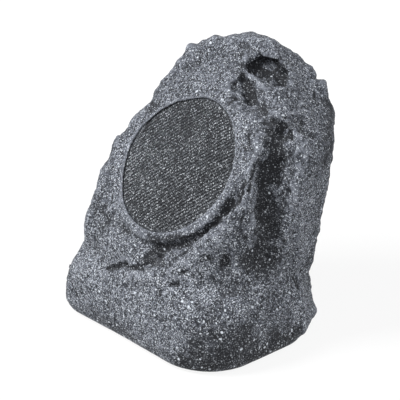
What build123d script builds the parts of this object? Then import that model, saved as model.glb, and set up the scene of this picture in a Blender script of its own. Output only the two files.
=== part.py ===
"""Rock shaped garden speaker: a moulded boulder with a coaxial two-way driver behind a round grille.

Millimetres and degrees. +Z is up and the grille faces -Y. The origin is on the ground, under the middle of
the part. An azimuth is measured from the front, positive towards the right as seen from the front.
"""
from build123d import *
import os
from math import cos, pi, radians, sin, sqrt

# Boulder: what each flat facet faces, as azimuth and elevation, and its distance from the heart of the stone
HEART_HEIGHT = 70
SLOPE_TILT = 34
SLOPE_DISTANCE = 70
BOULDER_REACH = 400
BOULDER_FOOT = 60
BOULDER_ROUND = 16
BOULDER_FACETS = {
    "front_slope": (0, SLOPE_TILT, SLOPE_DISTANCE),
    "front_lower": (-9, 2, 75),
    "front_right": (49, 7, 90),
    "right_flank": (98, -11, 107),
    "right_shoulder": (96, 44, 194),
    "left_flank": (-80, 3, 114),
    "left_shoulder": (-85, 69, 220),
    "left_brow": (-69, 32, 145),
    "crown": (176, 64, 245),
    "back": (180, -5, 102),
    "back_left": (-151, 1, 117),
    "back_right": (137, -6, 128),
}

# Apron: the swelling round the boulder's foot; the corners of its outline, each with the radius that rounds it
APRON_BACK = 106
APRON_CORNERS = {
    "front_left": (-129, -76, 26),
    "front_right": (117, -91, 58),
    "right": (118, 46, 40),
    "back_right": (84, APRON_BACK, 30),
    "back_left": (-96, APRON_BACK, 36),
    "left": (-134, 66, 30),
}
APRON_HEIGHT = 75
APRON_SHOULDER = 28
APRON_TOE = 5

# Hollows scooped out of the boulder: azimuth and elevation of both ends, width across and depth
SCOOPS = {
    "flank_valley": (103, 56, 89, 13, 36, 11),
    "crown_pit": (148, 72, 132, 66, 25, 13),
    "crown_groove": (151, 75, 121, 70, 15, 8),
    "flank_pit": (70, 20, 72, 17, 13, 5),
}

# Shell moulding
WALL = 5
RIM_WALL = 9
FLANGE_WIDTH = 12
FLANGE_THICKNESS = 5
BOSS_RADIUS = 5
BOSS_HEIGHT = 14

# Collar, grille pocket and driver seat; heights are taken from the collar's rim along the driver's axis
DRIVER_SIDE = -6
DRIVER_RISE = 85
COLLAR_PROUD = 4
COLLAR_WIDTH = 10.5
COLLAR_ROUND = 5
COLLAR_DEPTH = 18
COLLAR_BACKING = 12
CREASE_OFFSET = 3
CREASE_RADIUS = 5
CREASE_SINK = 2
CREASE_TILT = 5
CREASE_ANGLE = -62
SEAT_WIDTH = 10
SEAT_THICKNESS = 6
CUP_WALL = 6

# Grille
GRILLE_OVERLAP = 7.5
GRILLE_CLEARANCE = 0.4
GRILLE_RECESS = 3
GRILLE_SHEET = 1
GRILLE_RISE = 3
GRILLE_SKIRT = 6
GRILLE_MARGIN = 6
SLOT_PITCH = 3.8
SLOT_WIDTH = 1.9
SLOT_LENGTH = 46
SLOT_BRIDGE = 2.4
SLOT_ANGLE = 37
CLOTH_THICKNESS = 0.6

# Woofer
FLANGE_RADIUS = 66
FLANGE_CLEARANCE = 1.5
DRIVER_SETBACK = 21
BASKET_SHEET = 1.5
SHELF_INSET = 10
SHELF_STEP = 2
SHELF_WIDTH = 4
SPIDER_SHELF_RADIUS = 38
SPIDER_SHELF_WIDTH = 7
SPIDER_DEPTH = 25
BASKET_DEPTH = 35
WINDOW_COUNT = 4
WINDOW_WIDTH = 40
GASKET_THICKNESS = 1.5
ROLL_RADIUS = 3.5
RUBBER_THICKNESS = 0.8
LIP_WIDTH = 3
CONE_THICKNESS = 0.6
CONE_DEPTH = 19
CONE_NECK = 2.5
GLUE_GAP = 0.3
CAP_RADIUS = 17
CAP_RISE = 5
SPIDER_THICKNESS = 0.5
SPIDER_WAVE = 1
SPIDER_WAVES = 4
COIL_RADIUS = 13
FORMER_THICKNESS = 0.3
FORMER_MARGIN = 1
COIL_THICKNESS = 0.6
COIL_LENGTH = 10
AIR_GAP = 0.5
TOP_PLATE_RADIUS = 36
TOP_PLATE_THICKNESS = 5
MAGNET_RADIUS = 38
MAGNET_BORE = 18
MAGNET_THICKNESS = 14
BACK_PLATE_THICKNESS = 5
TERMINAL_BOARD = (24, 12, 1.6)
TERMINAL_TAG = (5, 12, 0.8)
TERMINAL_SPACING = 13

# Tweeter on its bridge
BRIDGE_RISE = 9
BRIDGE_SHEET = 2.5
BRIDGE_WIDTH = 14
BRIDGE_FOOT = 10.5
BRIDGE_RING = 19
TWEETER_RADIUS = 13
TWEETER_WALL = 1.2
TWEETER_DEPTH = 13
TWEETER_FLANGE = 17
TWEETER_FLANGE_THICKNESS = 1.5
TWEETER_MAGNET_RADIUS = 9
TWEETER_MAGNET_THICKNESS = 6
DOME_RADIUS = 10
DOME_RISE = 4
DOME_THICKNESS = 0.4

# Screws: shank radius, shank length, head radius and head height
DRIVER_SCREW = (2, 16, 3.8, 2.4)
BASE_SCREW = (2, 14, 3.8, 2)
BOARD_SCREW = (1.4, 7, 2.6, 1.6)
SCREW_CLEARANCE = 0.05
HOLE_CLEARANCE = 0.3
RECESS_SHARE = 0.5
DRIVER_SCREW_INSET = 4
DRIVER_SCREW_COUNT = 4
BASE_SCREWS = (
    ("front_left", "front_right", 0.28),
    ("front_left", "front_right", 0.68),
    ("front_right", "right", 0.65),
    ("back_right", "back_left", 0.25),
    ("back_right", "back_left", 0.75),
    ("left", "front_left", 0.45),
)

# Base
BASE_RECESS = 3
BASE_THICKNESS = 4
BASE_CLEARANCE = 0.5
BASE_GASKET_THICKNESS = 1.5
GASKET_MARGIN = 1
FOOT_RADIUS = 10
FOOT_PROUD = 2
FOOT_ROUND = 1.2
FOOT_INSET = 34
FEET = {
    "front_left": ("front_left", "front_right", 0.16),
    "front_right": ("front_left", "front_right", 0.8),
    "rear_left": ("back_right", "back_left", 0.88),
    "rear_right": ("back_right", "back_left", 0.12),
}

# Crossover on the base
BOARD_SIZE = (84, 56, 1.6)
BOARD_CENTRE = (4, 6)
BOARD_HOLE_INSET = 5
POST_RADIUS = 4
POST_HEIGHT = 8
PART_GAP = 0.1
INDUCTOR = (16, 8, 14)
INDUCTOR_PLACE = (-23, 0)
CAPACITOR = (7, 28)
CAPACITOR_PLACES = {"crossover_capacitor_1": (12, 13), "crossover_capacitor_2": (12, -4)}
RESISTOR = (26, 9, 9)
RESISTOR_PLACE = (12, -19)

# Cable gland low on the back
GLAND_SIDE = 34
GLAND_HEIGHT = 34
GLAND_SINK = 3
GLAND_THREAD = 6
GLAND_BORE = 3.6
GLAND_HEX = 8.5
GLAND_HEX_THICKNESS = 5
GLAND_TUBE = 8
GLAND_CAP_RADIUS = 8
GLAND_CAP_WALL = 3
GLAND_SEAL_BORE = 3
GLAND_SEAL_LENGTH = 5
GLAND_PAD_RADIUS = 13
GLAND_PAD_THICKNESS = 8
GLAND_SPOT_RADIUS = 11
LOCKNUT_THICKNESS = 4
LOCKNUT_STICK_OUT = 3
GLAND_CLEARANCE = 0.1

# How far a hole or a pocket is cut past the face that it opens
OVERCUT = 1

# Heights along the driver's axis, below the collar's rim
LEDGE = -(GRILLE_RECESS + GRILLE_SKIRT)
FLANGE_TOP = -DRIVER_SETBACK
FLANGE_BOTTOM = FLANGE_TOP - BASKET_SHEET
SEAT_TOP = FLANGE_BOTTOM - GASKET_THICKNESS
SEAT_BOTTOM = SEAT_TOP - SEAT_THICKNESS
SHELF_TOP = FLANGE_TOP - SHELF_STEP
SPIDER_SHELF_TOP = FLANGE_TOP - SPIDER_DEPTH
BASKET_BOTTOM = FLANGE_TOP - BASKET_DEPTH
MAGNET_TOP = BASKET_BOTTOM - TOP_PLATE_THICKNESS
MAGNET_BOTTOM = MAGNET_TOP - MAGNET_THICKNESS
BRIDGE_BOTTOM = FLANGE_TOP + BRIDGE_RISE
BRIDGE_TOP = BRIDGE_BOTTOM + BRIDGE_SHEET
TWEETER_TOP = BRIDGE_TOP + TWEETER_FLANGE_THICKNESS

# Radii about the driver's axis
GRILLE_RADIUS = FLANGE_RADIUS + GRILLE_OVERLAP
DRIVER_SCREW_CIRCLE = FLANGE_RADIUS - DRIVER_SCREW_INSET
SHELF_RADIUS = FLANGE_RADIUS - SHELF_INSET
POCKET_RADIUS = GRILLE_RADIUS + GRILLE_CLEARANCE
COLLAR_RADIUS = POCKET_RADIUS + COLLAR_WIDTH
DRIVER_POCKET_RADIUS = FLANGE_RADIUS + FLANGE_CLEARANCE
CUTOUT_RADIUS = DRIVER_POCKET_RADIUS - SEAT_WIDTH
SHELF_INNER = SHELF_RADIUS - SHELF_WIDTH
ROLL_CENTRE = SHELF_INNER - ROLL_RADIUS
CONE_RADIUS = ROLL_CENTRE - ROLL_RADIUS
CONE_TOP = SHELF_TOP - GLUE_GAP
CONE_BOTTOM = CONE_TOP - CONE_DEPTH
POLE_RADIUS = COIL_RADIUS - FORMER_THICKNESS - AIR_GAP
PLATE_BORE = COIL_RADIUS + COIL_THICKNESS + AIR_GAP

# Heights above the shell's rim
BASE_TOP = BASE_RECESS + BASE_THICKNESS
FLANGE_UNDERSIDE = BASE_TOP + BASE_GASKET_THICKNESS
CAVITY_FLOOR = FLANGE_UNDERSIDE + FLANGE_THICKNESS
BOARD_BOTTOM = BASE_TOP + POST_HEIGHT
BOARD_TOP = BOARD_BOTTOM + BOARD_SIZE[2]


# The stone's form

def facing(azimuth, elevation):
    """Unit direction for an azimuth from the front and an elevation above the ground."""
    turn = radians(azimuth)
    lift = radians(elevation)
    return (sin(turn) * cos(lift), -cos(turn) * cos(lift), sin(lift))


HEART = Vector(0, 0, HEART_HEIGHT)
BOULDER_PLANES = [(Vector(*facing(a, e)), d) for a, e, d in BOULDER_FACETS.values()]


def boulder(inset):
    """Block of flat facets with rounded edges, or the hollow inside its wall."""
    foot = HEART_HEIGHT - BOULDER_FOOT
    block = Pos(0, 0, foot + BOULDER_REACH / 2) * Box(2 * BOULDER_REACH, 2 * BOULDER_REACH, BOULDER_REACH)
    for normal, distance in BOULDER_PLANES:
        block = split(block, Plane(origin=HEART + normal * (distance - inset), z_dir=normal), keep=Keep.BOTTOM)
    above_foot = [edge for edge in block.edges() if edge.bounding_box().max.Z > foot + OVERCUT]
    return split(fillet(above_foot, BOULDER_ROUND - inset), Plane.XY, keep=Keep.TOP)


def apron_outline(inset):
    """Rounded outline of the apron on the ground, moved in by the inset."""
    outline = make_face(Polyline(*[(x, y) for x, y, _ in APRON_CORNERS.values()], close=True))
    for x, y, radius in APRON_CORNERS.values():
        outline = fillet(outline.vertices().sort_by_distance((x, y, 0))[0], radius)
    return offset(outline, -inset) if inset else outline


def apron(inset):
    """Swelling round the boulder's foot, or the hollow inside its wall."""
    block = extrude(apron_outline(inset), APRON_HEIGHT - inset)
    return fillet(block.edges().group_by(Axis.Z)[-1], APRON_SHOULDER - inset)


def base_prism(inset, bottom, top):
    """Upright prism on the apron's outline, moved in by the inset."""
    return Pos(0, 0, bottom) * extrude(apron_outline(inset), top - bottom)


def beside_outline(start, end, share, inset):
    """Place on the ground beside a straight side of the apron's outline, moved in by the inset."""
    x1, y1, _ = APRON_CORNERS[start]
    x2, y2, _ = APRON_CORNERS[end]
    length = sqrt((x2 - x1) ** 2 + (y2 - y1) ** 2)
    x = x1 + (x2 - x1) * share - (y2 - y1) / length * inset
    y = y1 + (y2 - y1) * share + (x2 - x1) / length * inset
    return Pos(x, y, 0)


# Shared shapes

def turned(profile, rounds=()):
    """Solid turned about Z, from the corners of its section as radius and height."""
    section = make_face(Polyline(*profile, close=True))
    for corner, radius in rounds:
        section = fillet(section.vertices().sort_by_distance((*corner, 0))[0], radius)
    return revolve(Plane.XZ * section, Axis.Z)


def ring(outer, inner, bottom, top):
    """Flat ring about Z."""
    return turned([(inner, bottom), (outer, bottom), (outer, top), (inner, top)])


def disc(radius, bottom, top):
    """Flat disc about Z."""
    return turned([(0, bottom), (radius, bottom), (radius, top), (0, top)])


def beside(line, distance):
    """Polyline moved sideways by a distance, with mitred corners."""
    normals = []
    for (r1, z1), (r2, z2) in zip(line, line[1:]):
        length = sqrt((r2 - r1) ** 2 + (z2 - z1) ** 2)
        normals.append(((z1 - z2) / length, (r2 - r1) / length))
    moved = []
    for index, (r, z) in enumerate(line):
        r1, z1 = normals[max(index - 1, 0)]
        r2, z2 = normals[min(index, len(normals) - 1)]
        scale = distance / (1 + r1 * r2 + z1 * z2)
        moved.append((r + (r1 + r2) * scale, z + (z1 + z2) * scale))
    return moved


def pressed(line, thickness):
    """Thin sheet turned about Z, from the radius and height of its middle line."""
    return turned(beside(line, thickness / 2) + beside(line, -thickness / 2)[::-1])


def bowl(radius, rise, thickness, edge):
    """Shallow domed sheet about Z, with the edge of its outer face at a height."""
    sphere = (radius**2 + rise**2) / (2 * rise)
    centre = edge + rise - sphere
    outside = Pos(0, 0, centre) * Sphere(sphere)
    inside = Pos(0, 0, centre) * Sphere(sphere - thickness)
    return (outside - inside) & disc(radius, edge - thickness, edge + rise + thickness)


def capsule(start, end, radius):
    """Rod with round ends between two points."""
    length = (end - start).length
    arc = pi / 4
    upper = ThreePointArc((radius, length), (radius * cos(arc), length + radius * sin(arc)), (0, length + radius))
    lower = ThreePointArc((0, -radius), (radius * cos(arc), -radius * sin(arc)), (radius, 0))
    side = Line((radius, 0), (radius, length))
    middle = Line((0, length + radius), (0, -radius))
    section = make_face([lower, side, upper, middle])
    return Plane(origin=start, z_dir=end - start) * revolve(Plane.XZ * section, Axis.Z)


def together(pieces):
    """Separate equal pieces as one shape."""
    return Compound([solid for piece in pieces for solid in piece.solids()])


def hexagon(across, bottom, top):
    """Hexagonal block about Z, from half its width across the flats."""
    return Pos(0, 0, bottom) * extrude(RegularPolygon(across, 6, major_radius=False), top - bottom)


def screw(size):
    """Pan-head screw that points down, with the underside of its head at the origin."""
    shank, length, head, height = size
    body = turned(
        [(0, -length), (shank, shank - length), (shank, 0), (head, 0), (head, height), (0, height)],
        [((head, height), height / 2)],
    )
    slot = Box(head, shank / 2, height) + Box(shank / 2, head, height)
    return body - Pos(0, 0, height * (RECESS_SHARE + 0.5)) * slot


# Places of the driver and the gland

DRIVER_FRAME = Plane(
    origin=HEART
    + Vector(*facing(0, SLOPE_TILT)) * (SLOPE_DISTANCE + COLLAR_PROUD)
    + Vector(DRIVER_SIDE, 0, 0)
    + Vector(0, sin(radians(SLOPE_TILT)), cos(radians(SLOPE_TILT))) * DRIVER_RISE,
    x_dir=(1, 0, 0),
    z_dir=facing(0, SLOPE_TILT),
)


def driver_screw_places():
    """Places round the driver's flange for its screws; the first and third also hold the bridge."""
    return [
        Rot(0, 0, 360 * index / DRIVER_SCREW_COUNT) * Pos(DRIVER_SCREW_CIRCLE, 0, 0)
        for index in range(DRIVER_SCREW_COUNT)
    ]


def bridge_side(index):
    """Whether a driver screw goes through a foot of the bridge."""
    return index % (DRIVER_SCREW_COUNT // 2) == 0


def gland_frame():
    """Frame at the gland's spot face, with Z pointing out of the back."""
    origin = (GLAND_SIDE, APRON_BACK - GLAND_SINK, GLAND_HEIGHT)
    return Plane(origin=origin, x_dir=(-1, 0, 0), z_dir=(0, 1, 0))


# Pieces of the shell

def above_facet(azimuth, elevation, lift):
    """Point above the boulder's facet that lies in a direction from its heart."""
    direction = Vector(*facing(azimuth, elevation))
    met = [(distance / direction.dot(normal), normal) for normal, distance in BOULDER_PLANES]
    reach, normal = min((pair for pair in met if pair[0] > 0), key=lambda pair: pair[0])
    return HEART + direction * reach + normal * lift


def scoop(size, growth):
    """Round-ended cutter that leaves a hollow of a width and depth in the boulder, grown by a wall or not."""
    start_azimuth, start_elevation, end_azimuth, end_elevation, width, depth = size
    radius = (width**2 / 4 + depth**2) / (2 * depth)
    start = above_facet(start_azimuth, start_elevation, radius - depth)
    end = above_facet(end_azimuth, end_elevation, radius - depth)
    return capsule(start, end, radius + growth)


def collar_crease():
    """Tilted round cutter that leaves a crease in the slope along the collar's lower side."""
    radius = COLLAR_RADIUS + CREASE_OFFSET
    middle = Pos(0, 0, radius * sin(radians(CREASE_TILT)) - COLLAR_PROUD - CREASE_SINK)
    turn = Rot(0, 0, CREASE_ANGLE) * Rot(0, CREASE_TILT, 0)
    return DRIVER_FRAME * middle * turn * Torus(radius, CREASE_RADIUS)


def collar():
    """Raised ring round the grille and the cup behind it that carries the driver."""
    cup_radius = DRIVER_POCKET_RADIUS + CUP_WALL
    profile = [
        (0, SEAT_BOTTOM),
        (cup_radius, SEAT_BOTTOM),
        (cup_radius, -COLLAR_DEPTH),
        (COLLAR_RADIUS, -COLLAR_DEPTH),
        (COLLAR_RADIUS, 0),
        (0, 0),
    ]
    body = turned(profile, [((COLLAR_RADIUS, 0), COLLAR_ROUND)])
    bosses = [
        place * disc(BOSS_RADIUS, SEAT_BOTTOM - BOSS_HEIGHT, SEAT_TOP - OVERCUT)
        for place in driver_screw_places()
    ]
    return DRIVER_FRAME * (body + bosses)


def collar_pockets():
    """Stepped hole for the grille, the driver's flange and the driver's basket, with its screw holes."""
    profile = [
        (0, SEAT_BOTTOM - OVERCUT),
        (CUTOUT_RADIUS, SEAT_BOTTOM - OVERCUT),
        (CUTOUT_RADIUS, SEAT_TOP),
        (DRIVER_POCKET_RADIUS, SEAT_TOP),
        (DRIVER_POCKET_RADIUS, LEDGE),
        (POCKET_RADIUS, LEDGE),
        (POCKET_RADIUS, OVERCUT),
        (0, OVERCUT),
    ]
    shank, length, _, _ = DRIVER_SCREW
    holes = [
        place * disc(shank + SCREW_CLEARANCE, FLANGE_TOP - length - OVERCUT, SEAT_TOP + OVERCUT)
        for place in driver_screw_places()
    ]
    return DRIVER_FRAME * (turned(profile) + holes)


def base_screw_places():
    """Places on the ground under the base screws, in the middle of the flange."""
    return [beside_outline(*side, RIM_WALL + FLANGE_WIDTH / 2) for side in BASE_SCREWS]


def base_bosses():
    """Bosses on the flange for the base screws."""
    top = FLANGE_UNDERSIDE + BOSS_HEIGHT
    return [place * disc(BOSS_RADIUS, FLANGE_UNDERSIDE, top) for place in base_screw_places()]


def base_screw_holes(clearance, bottom, top):
    """Upright holes on the base screws."""
    return [place * disc(BASE_SCREW[0] + clearance, bottom, top) for place in base_screw_places()]


def rock_shell():
    """Moulded stone with its collar, cup, flange, bosses and gland pad, in one piece."""
    foot = apron(0)
    stone = boulder(0) + fillet(foot.edges().group_by(Axis.Z)[0], APRON_TOE)
    for size in SCOOPS.values():
        stone -= scoop(size, 0)
    ring_and_cup = collar()
    stone = stone - collar_crease() + ring_and_cup
    hollow = boulder(WALL) + apron(WALL)
    hollow = split(hollow, Plane(origin=(0, 0, CAVITY_FLOOR)), keep=Keep.TOP)
    for size in SCOOPS.values():
        hollow -= scoop(size, WALL)
    hollow -= ring_and_cup
    hollow -= DRIVER_FRAME * disc(COLLAR_RADIUS + COLLAR_BACKING, -COLLAR_DEPTH, 0)
    for boss in base_bosses():
        hollow -= boss
    pad = gland_frame() * disc(GLAND_PAD_RADIUS, -GLAND_PAD_THICKNESS, GLAND_SINK)
    hollow -= pad
    shell = stone - hollow
    shell -= base_prism(RIM_WALL, -OVERCUT, FLANGE_UNDERSIDE)
    shell -= base_prism(RIM_WALL + FLANGE_WIDTH, FLANGE_UNDERSIDE - OVERCUT, CAVITY_FLOOR + OVERCUT)
    shell -= collar_pockets()
    for hole in base_screw_holes(SCREW_CLEARANCE, 0, BASE_RECESS + BASE_SCREW[1] + OVERCUT):
        shell -= hole
    spot = gland_frame() * disc(GLAND_SPOT_RADIUS, 0, 2 * GLAND_PAD_THICKNESS)
    bore = gland_frame() * disc(GLAND_THREAD + GLAND_CLEARANCE, -GLAND_PAD_THICKNESS - OVERCUT, OVERCUT)
    return shell - spot - bore


# Grille

def slot_rows():
    """Slots of the grille, in straight rows, each row divided by narrow bridges."""
    reach = GRILLE_RADIUS - GRILLE_MARGIN
    rows = int(reach / SLOT_PITCH)
    height = GRILLE_RISE + 4 * GRILLE_SHEET
    slots = []
    for row in range(-rows, rows + 1):
        across = row * SLOT_PITCH
        half_chord = sqrt(reach**2 - across**2) - SLOT_WIDTH
        count = max(1, round(2 * half_chord / SLOT_LENGTH))
        step = (2 * half_chord + SLOT_BRIDGE) / count
        length = step - SLOT_BRIDGE
        for index in range(count):
            along = (index + 0.5) * step - half_chord - SLOT_BRIDGE / 2
            if length > SLOT_BRIDGE:
                slots.append(Pos(along, across, -GRILLE_RECESS) * Box(length, SLOT_WIDTH, 2 * height))
    return [Rot(0, 0, SLOT_ANGLE) * slot for slot in slots]


def grille():
    """Domed sheet with rows of slots and an edge turned back into the pocket."""
    skirt = ring(GRILLE_RADIUS, GRILLE_RADIUS - GRILLE_SHEET, LEDGE, -GRILLE_RECESS)
    sheet = bowl(GRILLE_RADIUS, GRILLE_RISE, GRILLE_SHEET, -GRILLE_RECESS)
    return DRIVER_FRAME * (skirt + (sheet - slot_rows()))


def grille_cloth():
    """Black weather cloth against the back of the grille."""
    radius = GRILLE_RADIUS - GRILLE_SHEET - GRILLE_CLEARANCE
    return DRIVER_FRAME * bowl(radius, GRILLE_RISE, CLOTH_THICKNESS, -GRILLE_RECESS - GRILLE_SHEET - PART_GAP)


# Woofer

def woofer_basket():
    """Pressed frame with a shelf for the surround, a shelf for the spider and windows between them."""
    sheet = BASKET_SHEET
    half = sheet / 2
    spider_inner = SPIDER_SHELF_RADIUS - SPIDER_SHELF_WIDTH
    line = [
        (FLANGE_RADIUS, FLANGE_TOP - half),
        (SHELF_RADIUS, FLANGE_TOP - half),
        (SHELF_RADIUS, SHELF_TOP - half),
        (SHELF_INNER, SHELF_TOP - half),
        (SPIDER_SHELF_RADIUS, SPIDER_SHELF_TOP - half),
        (spider_inner, SPIDER_SHELF_TOP - half),
        (spider_inner, BASKET_BOTTOM + half),
        (PLATE_BORE + sheet, BASKET_BOTTOM + half),
    ]
    body = pressed(line, sheet)
    window = Pos(FLANGE_RADIUS / 2, 0, (SHELF_TOP + SPIDER_SHELF_TOP) / 2) * Box(
        FLANGE_RADIUS, WINDOW_WIDTH, SPIDER_SHELF_TOP * -1 + SHELF_TOP - 4 * sheet
    )
    windows = [Rot(0, 0, 360 * (index + 0.5) / WINDOW_COUNT) * window for index in range(WINDOW_COUNT)]
    shank = DRIVER_SCREW[0]
    holes = [
        place * disc(shank + HOLE_CLEARANCE, FLANGE_BOTTOM - OVERCUT, FLANGE_TOP + OVERCUT)
        for place in driver_screw_places()
    ]
    return DRIVER_FRAME * (body - windows - holes)


def woofer_gasket():
    """Foam ring between the basket's flange and its seat."""
    body = ring(FLANGE_RADIUS, CUTOUT_RADIUS, SEAT_TOP, FLANGE_BOTTOM)
    shank = DRIVER_SCREW[0]
    holes = [
        place * disc(shank + HOLE_CLEARANCE, SEAT_TOP - OVERCUT, FLANGE_BOTTOM + OVERCUT)
        for place in driver_screw_places()
    ]
    return DRIVER_FRAME * (body - holes)


def woofer_surround():
    """Rubber half roll from the basket's shelf to the rim of the cone."""
    middle = SHELF_TOP + RUBBER_THICKNESS / 2
    steps = 12
    roll = [
        (ROLL_CENTRE + ROLL_RADIUS * cos(pi * step / steps), middle + ROLL_RADIUS * sin(pi * step / steps))
        for step in range(steps + 1)
    ]
    line = [(SHELF_RADIUS - BASKET_SHEET, middle)] + roll + [(CONE_RADIUS - LIP_WIDTH, middle)]
    return DRIVER_FRAME * pressed(line, RUBBER_THICKNESS)


def woofer_cone():
    """Paper cone with a flat rim under the surround and a neck on the coil former."""
    half = CONE_THICKNESS / 2
    neck = COIL_RADIUS + half
    line = [
        (CONE_RADIUS, CONE_TOP - half),
        (CONE_RADIUS - LIP_WIDTH, CONE_TOP - half),
        (neck, CONE_BOTTOM),
        (neck, CONE_BOTTOM - CONE_NECK),
    ]
    return DRIVER_FRAME * pressed(line, CONE_THICKNESS)


def dust_cap():
    """Domed cap over the middle of the cone."""
    rim = CONE_RADIUS - LIP_WIDTH
    share = (CAP_RADIUS - COIL_RADIUS) / (rim - COIL_RADIUS)
    on_cone = CONE_BOTTOM + share * CONE_DEPTH
    edge = on_cone + 2 * CONE_THICKNESS
    return DRIVER_FRAME * bowl(CAP_RADIUS, CAP_RISE, CONE_THICKNESS, edge)


def spider():
    """Corrugated ring that centres the coil former."""
    inner = COIL_RADIUS + GLUE_GAP
    outer = SPIDER_SHELF_RADIUS - BASKET_SHEET
    middle = SPIDER_SHELF_TOP + SPIDER_THICKNESS / 2
    start = inner + LIP_WIDTH / 2
    end = SPIDER_SHELF_RADIUS - SPIDER_SHELF_WIDTH - BASKET_SHEET
    steps = 4 * SPIDER_WAVES
    waves = [
        (start + (end - start) * step / steps, middle + SPIDER_WAVE * sin(2 * pi * SPIDER_WAVES * step / steps))
        for step in range(steps + 1)
    ]
    return DRIVER_FRAME * pressed([(inner, middle)] + waves + [(outer, middle)], SPIDER_THICKNESS)


def coil_middle():
    """Height of the middle of the coil, which is centred on the top plate."""
    return BASKET_BOTTOM - TOP_PLATE_THICKNESS / 2


def voice_coil_former():
    """Thin tube that joins the cone and the coil."""
    bottom = coil_middle() - COIL_LENGTH / 2 - FORMER_MARGIN
    return DRIVER_FRAME * ring(COIL_RADIUS, COIL_RADIUS - FORMER_THICKNESS, bottom, CONE_BOTTOM)


def voice_coil():
    """Copper winding on the former."""
    bottom = coil_middle() - COIL_LENGTH / 2
    return DRIVER_FRAME * ring(COIL_RADIUS + COIL_THICKNESS, COIL_RADIUS, bottom, bottom + COIL_LENGTH)


def top_plate():
    """Steel ring in front of the magnet, on the back of the basket."""
    return DRIVER_FRAME * ring(TOP_PLATE_RADIUS, PLATE_BORE, MAGNET_TOP, BASKET_BOTTOM)


def magnet():
    """Ferrite ring."""
    return DRIVER_FRAME * ring(MAGNET_RADIUS, MAGNET_BORE, MAGNET_BOTTOM, MAGNET_TOP)


def back_plate():
    """Steel plate behind the magnet, in one piece with the pole."""
    bottom = MAGNET_BOTTOM - BACK_PLATE_THICKNESS
    profile = [
        (0, bottom),
        (TOP_PLATE_RADIUS, bottom),
        (TOP_PLATE_RADIUS, MAGNET_BOTTOM),
        (POLE_RADIUS, MAGNET_BOTTOM),
        (POLE_RADIUS, BASKET_BOTTOM),
        (0, BASKET_BOTTOM),
    ]
    return DRIVER_FRAME * turned(profile, [((TOP_PLATE_RADIUS, bottom), BACK_PLATE_THICKNESS / 3)])


def terminal_place():
    """Frame on the back of the spider shelf, at the lower side of the basket."""
    inner = SPIDER_SHELF_RADIUS - SPIDER_SHELF_WIDTH + BASKET_SHEET
    return Rot(0, 0, 180) * Pos(0, inner, SPIDER_SHELF_TOP - BASKET_SHEET)


def terminal_board():
    """Fibre strip that carries the two solder tags."""
    width, length, thickness = TERMINAL_BOARD
    return DRIVER_FRAME * terminal_place() * Pos(0, length / 2, -thickness / 2) * Box(width, length, thickness)


def terminal_tags():
    """Two solder tags on the back of the strip."""
    width, length, thickness = TERMINAL_TAG
    below = -TERMINAL_BOARD[2] - thickness / 2
    tag = Pos(0, TERMINAL_BOARD[1] - length / 4, below) * Box(width, length, thickness)
    places = [terminal_place() * Pos(side * TERMINAL_SPACING / 2, 0, 0) for side in (-1, 1)]
    return together([DRIVER_FRAME * place * tag for place in places])


# Tweeter

def tweeter_bridge():
    """Strap that arches over the surround and widens to a ring in the middle."""
    foot_inner = FLANGE_RADIUS - BRIDGE_FOOT
    line = [
        (-FLANGE_RADIUS, FLANGE_TOP + BRIDGE_SHEET / 2),
        (-foot_inner, FLANGE_TOP + BRIDGE_SHEET / 2),
        (-foot_inner + BRIDGE_SHEET, BRIDGE_TOP - BRIDGE_SHEET / 2),
        (foot_inner - BRIDGE_SHEET, BRIDGE_TOP - BRIDGE_SHEET / 2),
        (foot_inner, FLANGE_TOP + BRIDGE_SHEET / 2),
        (FLANGE_RADIUS, FLANGE_TOP + BRIDGE_SHEET / 2),
    ]
    outline = beside(line, BRIDGE_SHEET / 2) + beside(line, -BRIDGE_SHEET / 2)[::-1]
    section = Plane.XZ * make_face(Polyline(*outline, close=True))
    strap = extrude(section, BRIDGE_WIDTH / 2, both=True)
    strap &= disc(FLANGE_RADIUS, FLANGE_TOP, BRIDGE_TOP)
    middle = disc(BRIDGE_RING, BRIDGE_BOTTOM, BRIDGE_TOP)
    hole = disc(TWEETER_RADIUS + HOLE_CLEARANCE, BRIDGE_BOTTOM - OVERCUT, BRIDGE_TOP + OVERCUT)
    shank = DRIVER_SCREW[0]
    screw_holes = [
        place * disc(shank + HOLE_CLEARANCE, FLANGE_TOP - OVERCUT, FLANGE_TOP + BRIDGE_SHEET + OVERCUT)
        for index, place in enumerate(driver_screw_places())
        if bridge_side(index)
    ]
    return DRIVER_FRAME * (strap + middle - hole - screw_holes)


def tweeter_housing():
    """Cup that hangs in the bridge by its flange."""
    bottom = TWEETER_TOP - TWEETER_DEPTH
    inner = TWEETER_RADIUS - TWEETER_WALL
    profile = [
        (0, bottom),
        (TWEETER_RADIUS, bottom),
        (TWEETER_RADIUS, BRIDGE_TOP),
        (TWEETER_FLANGE, BRIDGE_TOP),
        (TWEETER_FLANGE, TWEETER_TOP),
        (inner, TWEETER_TOP),
        (inner, bottom + TWEETER_WALL),
        (0, bottom + TWEETER_WALL),
    ]
    return DRIVER_FRAME * turned(profile)


def tweeter_magnet():
    """Neodymium disc on the floor of the cup."""
    bottom = TWEETER_TOP - TWEETER_DEPTH + TWEETER_WALL
    return DRIVER_FRAME * disc(TWEETER_MAGNET_RADIUS, bottom, bottom + TWEETER_MAGNET_THICKNESS)


def tweeter_dome():
    """Thin dome with a flat edge that lies on the housing."""
    edge = TWEETER_TOP + DOME_THICKNESS
    flat = ring(TWEETER_FLANGE - TWEETER_WALL, DOME_RADIUS - DOME_THICKNESS, TWEETER_TOP, edge)
    return DRIVER_FRAME * (bowl(DOME_RADIUS, DOME_RISE, DOME_THICKNESS, edge) + flat)


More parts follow.
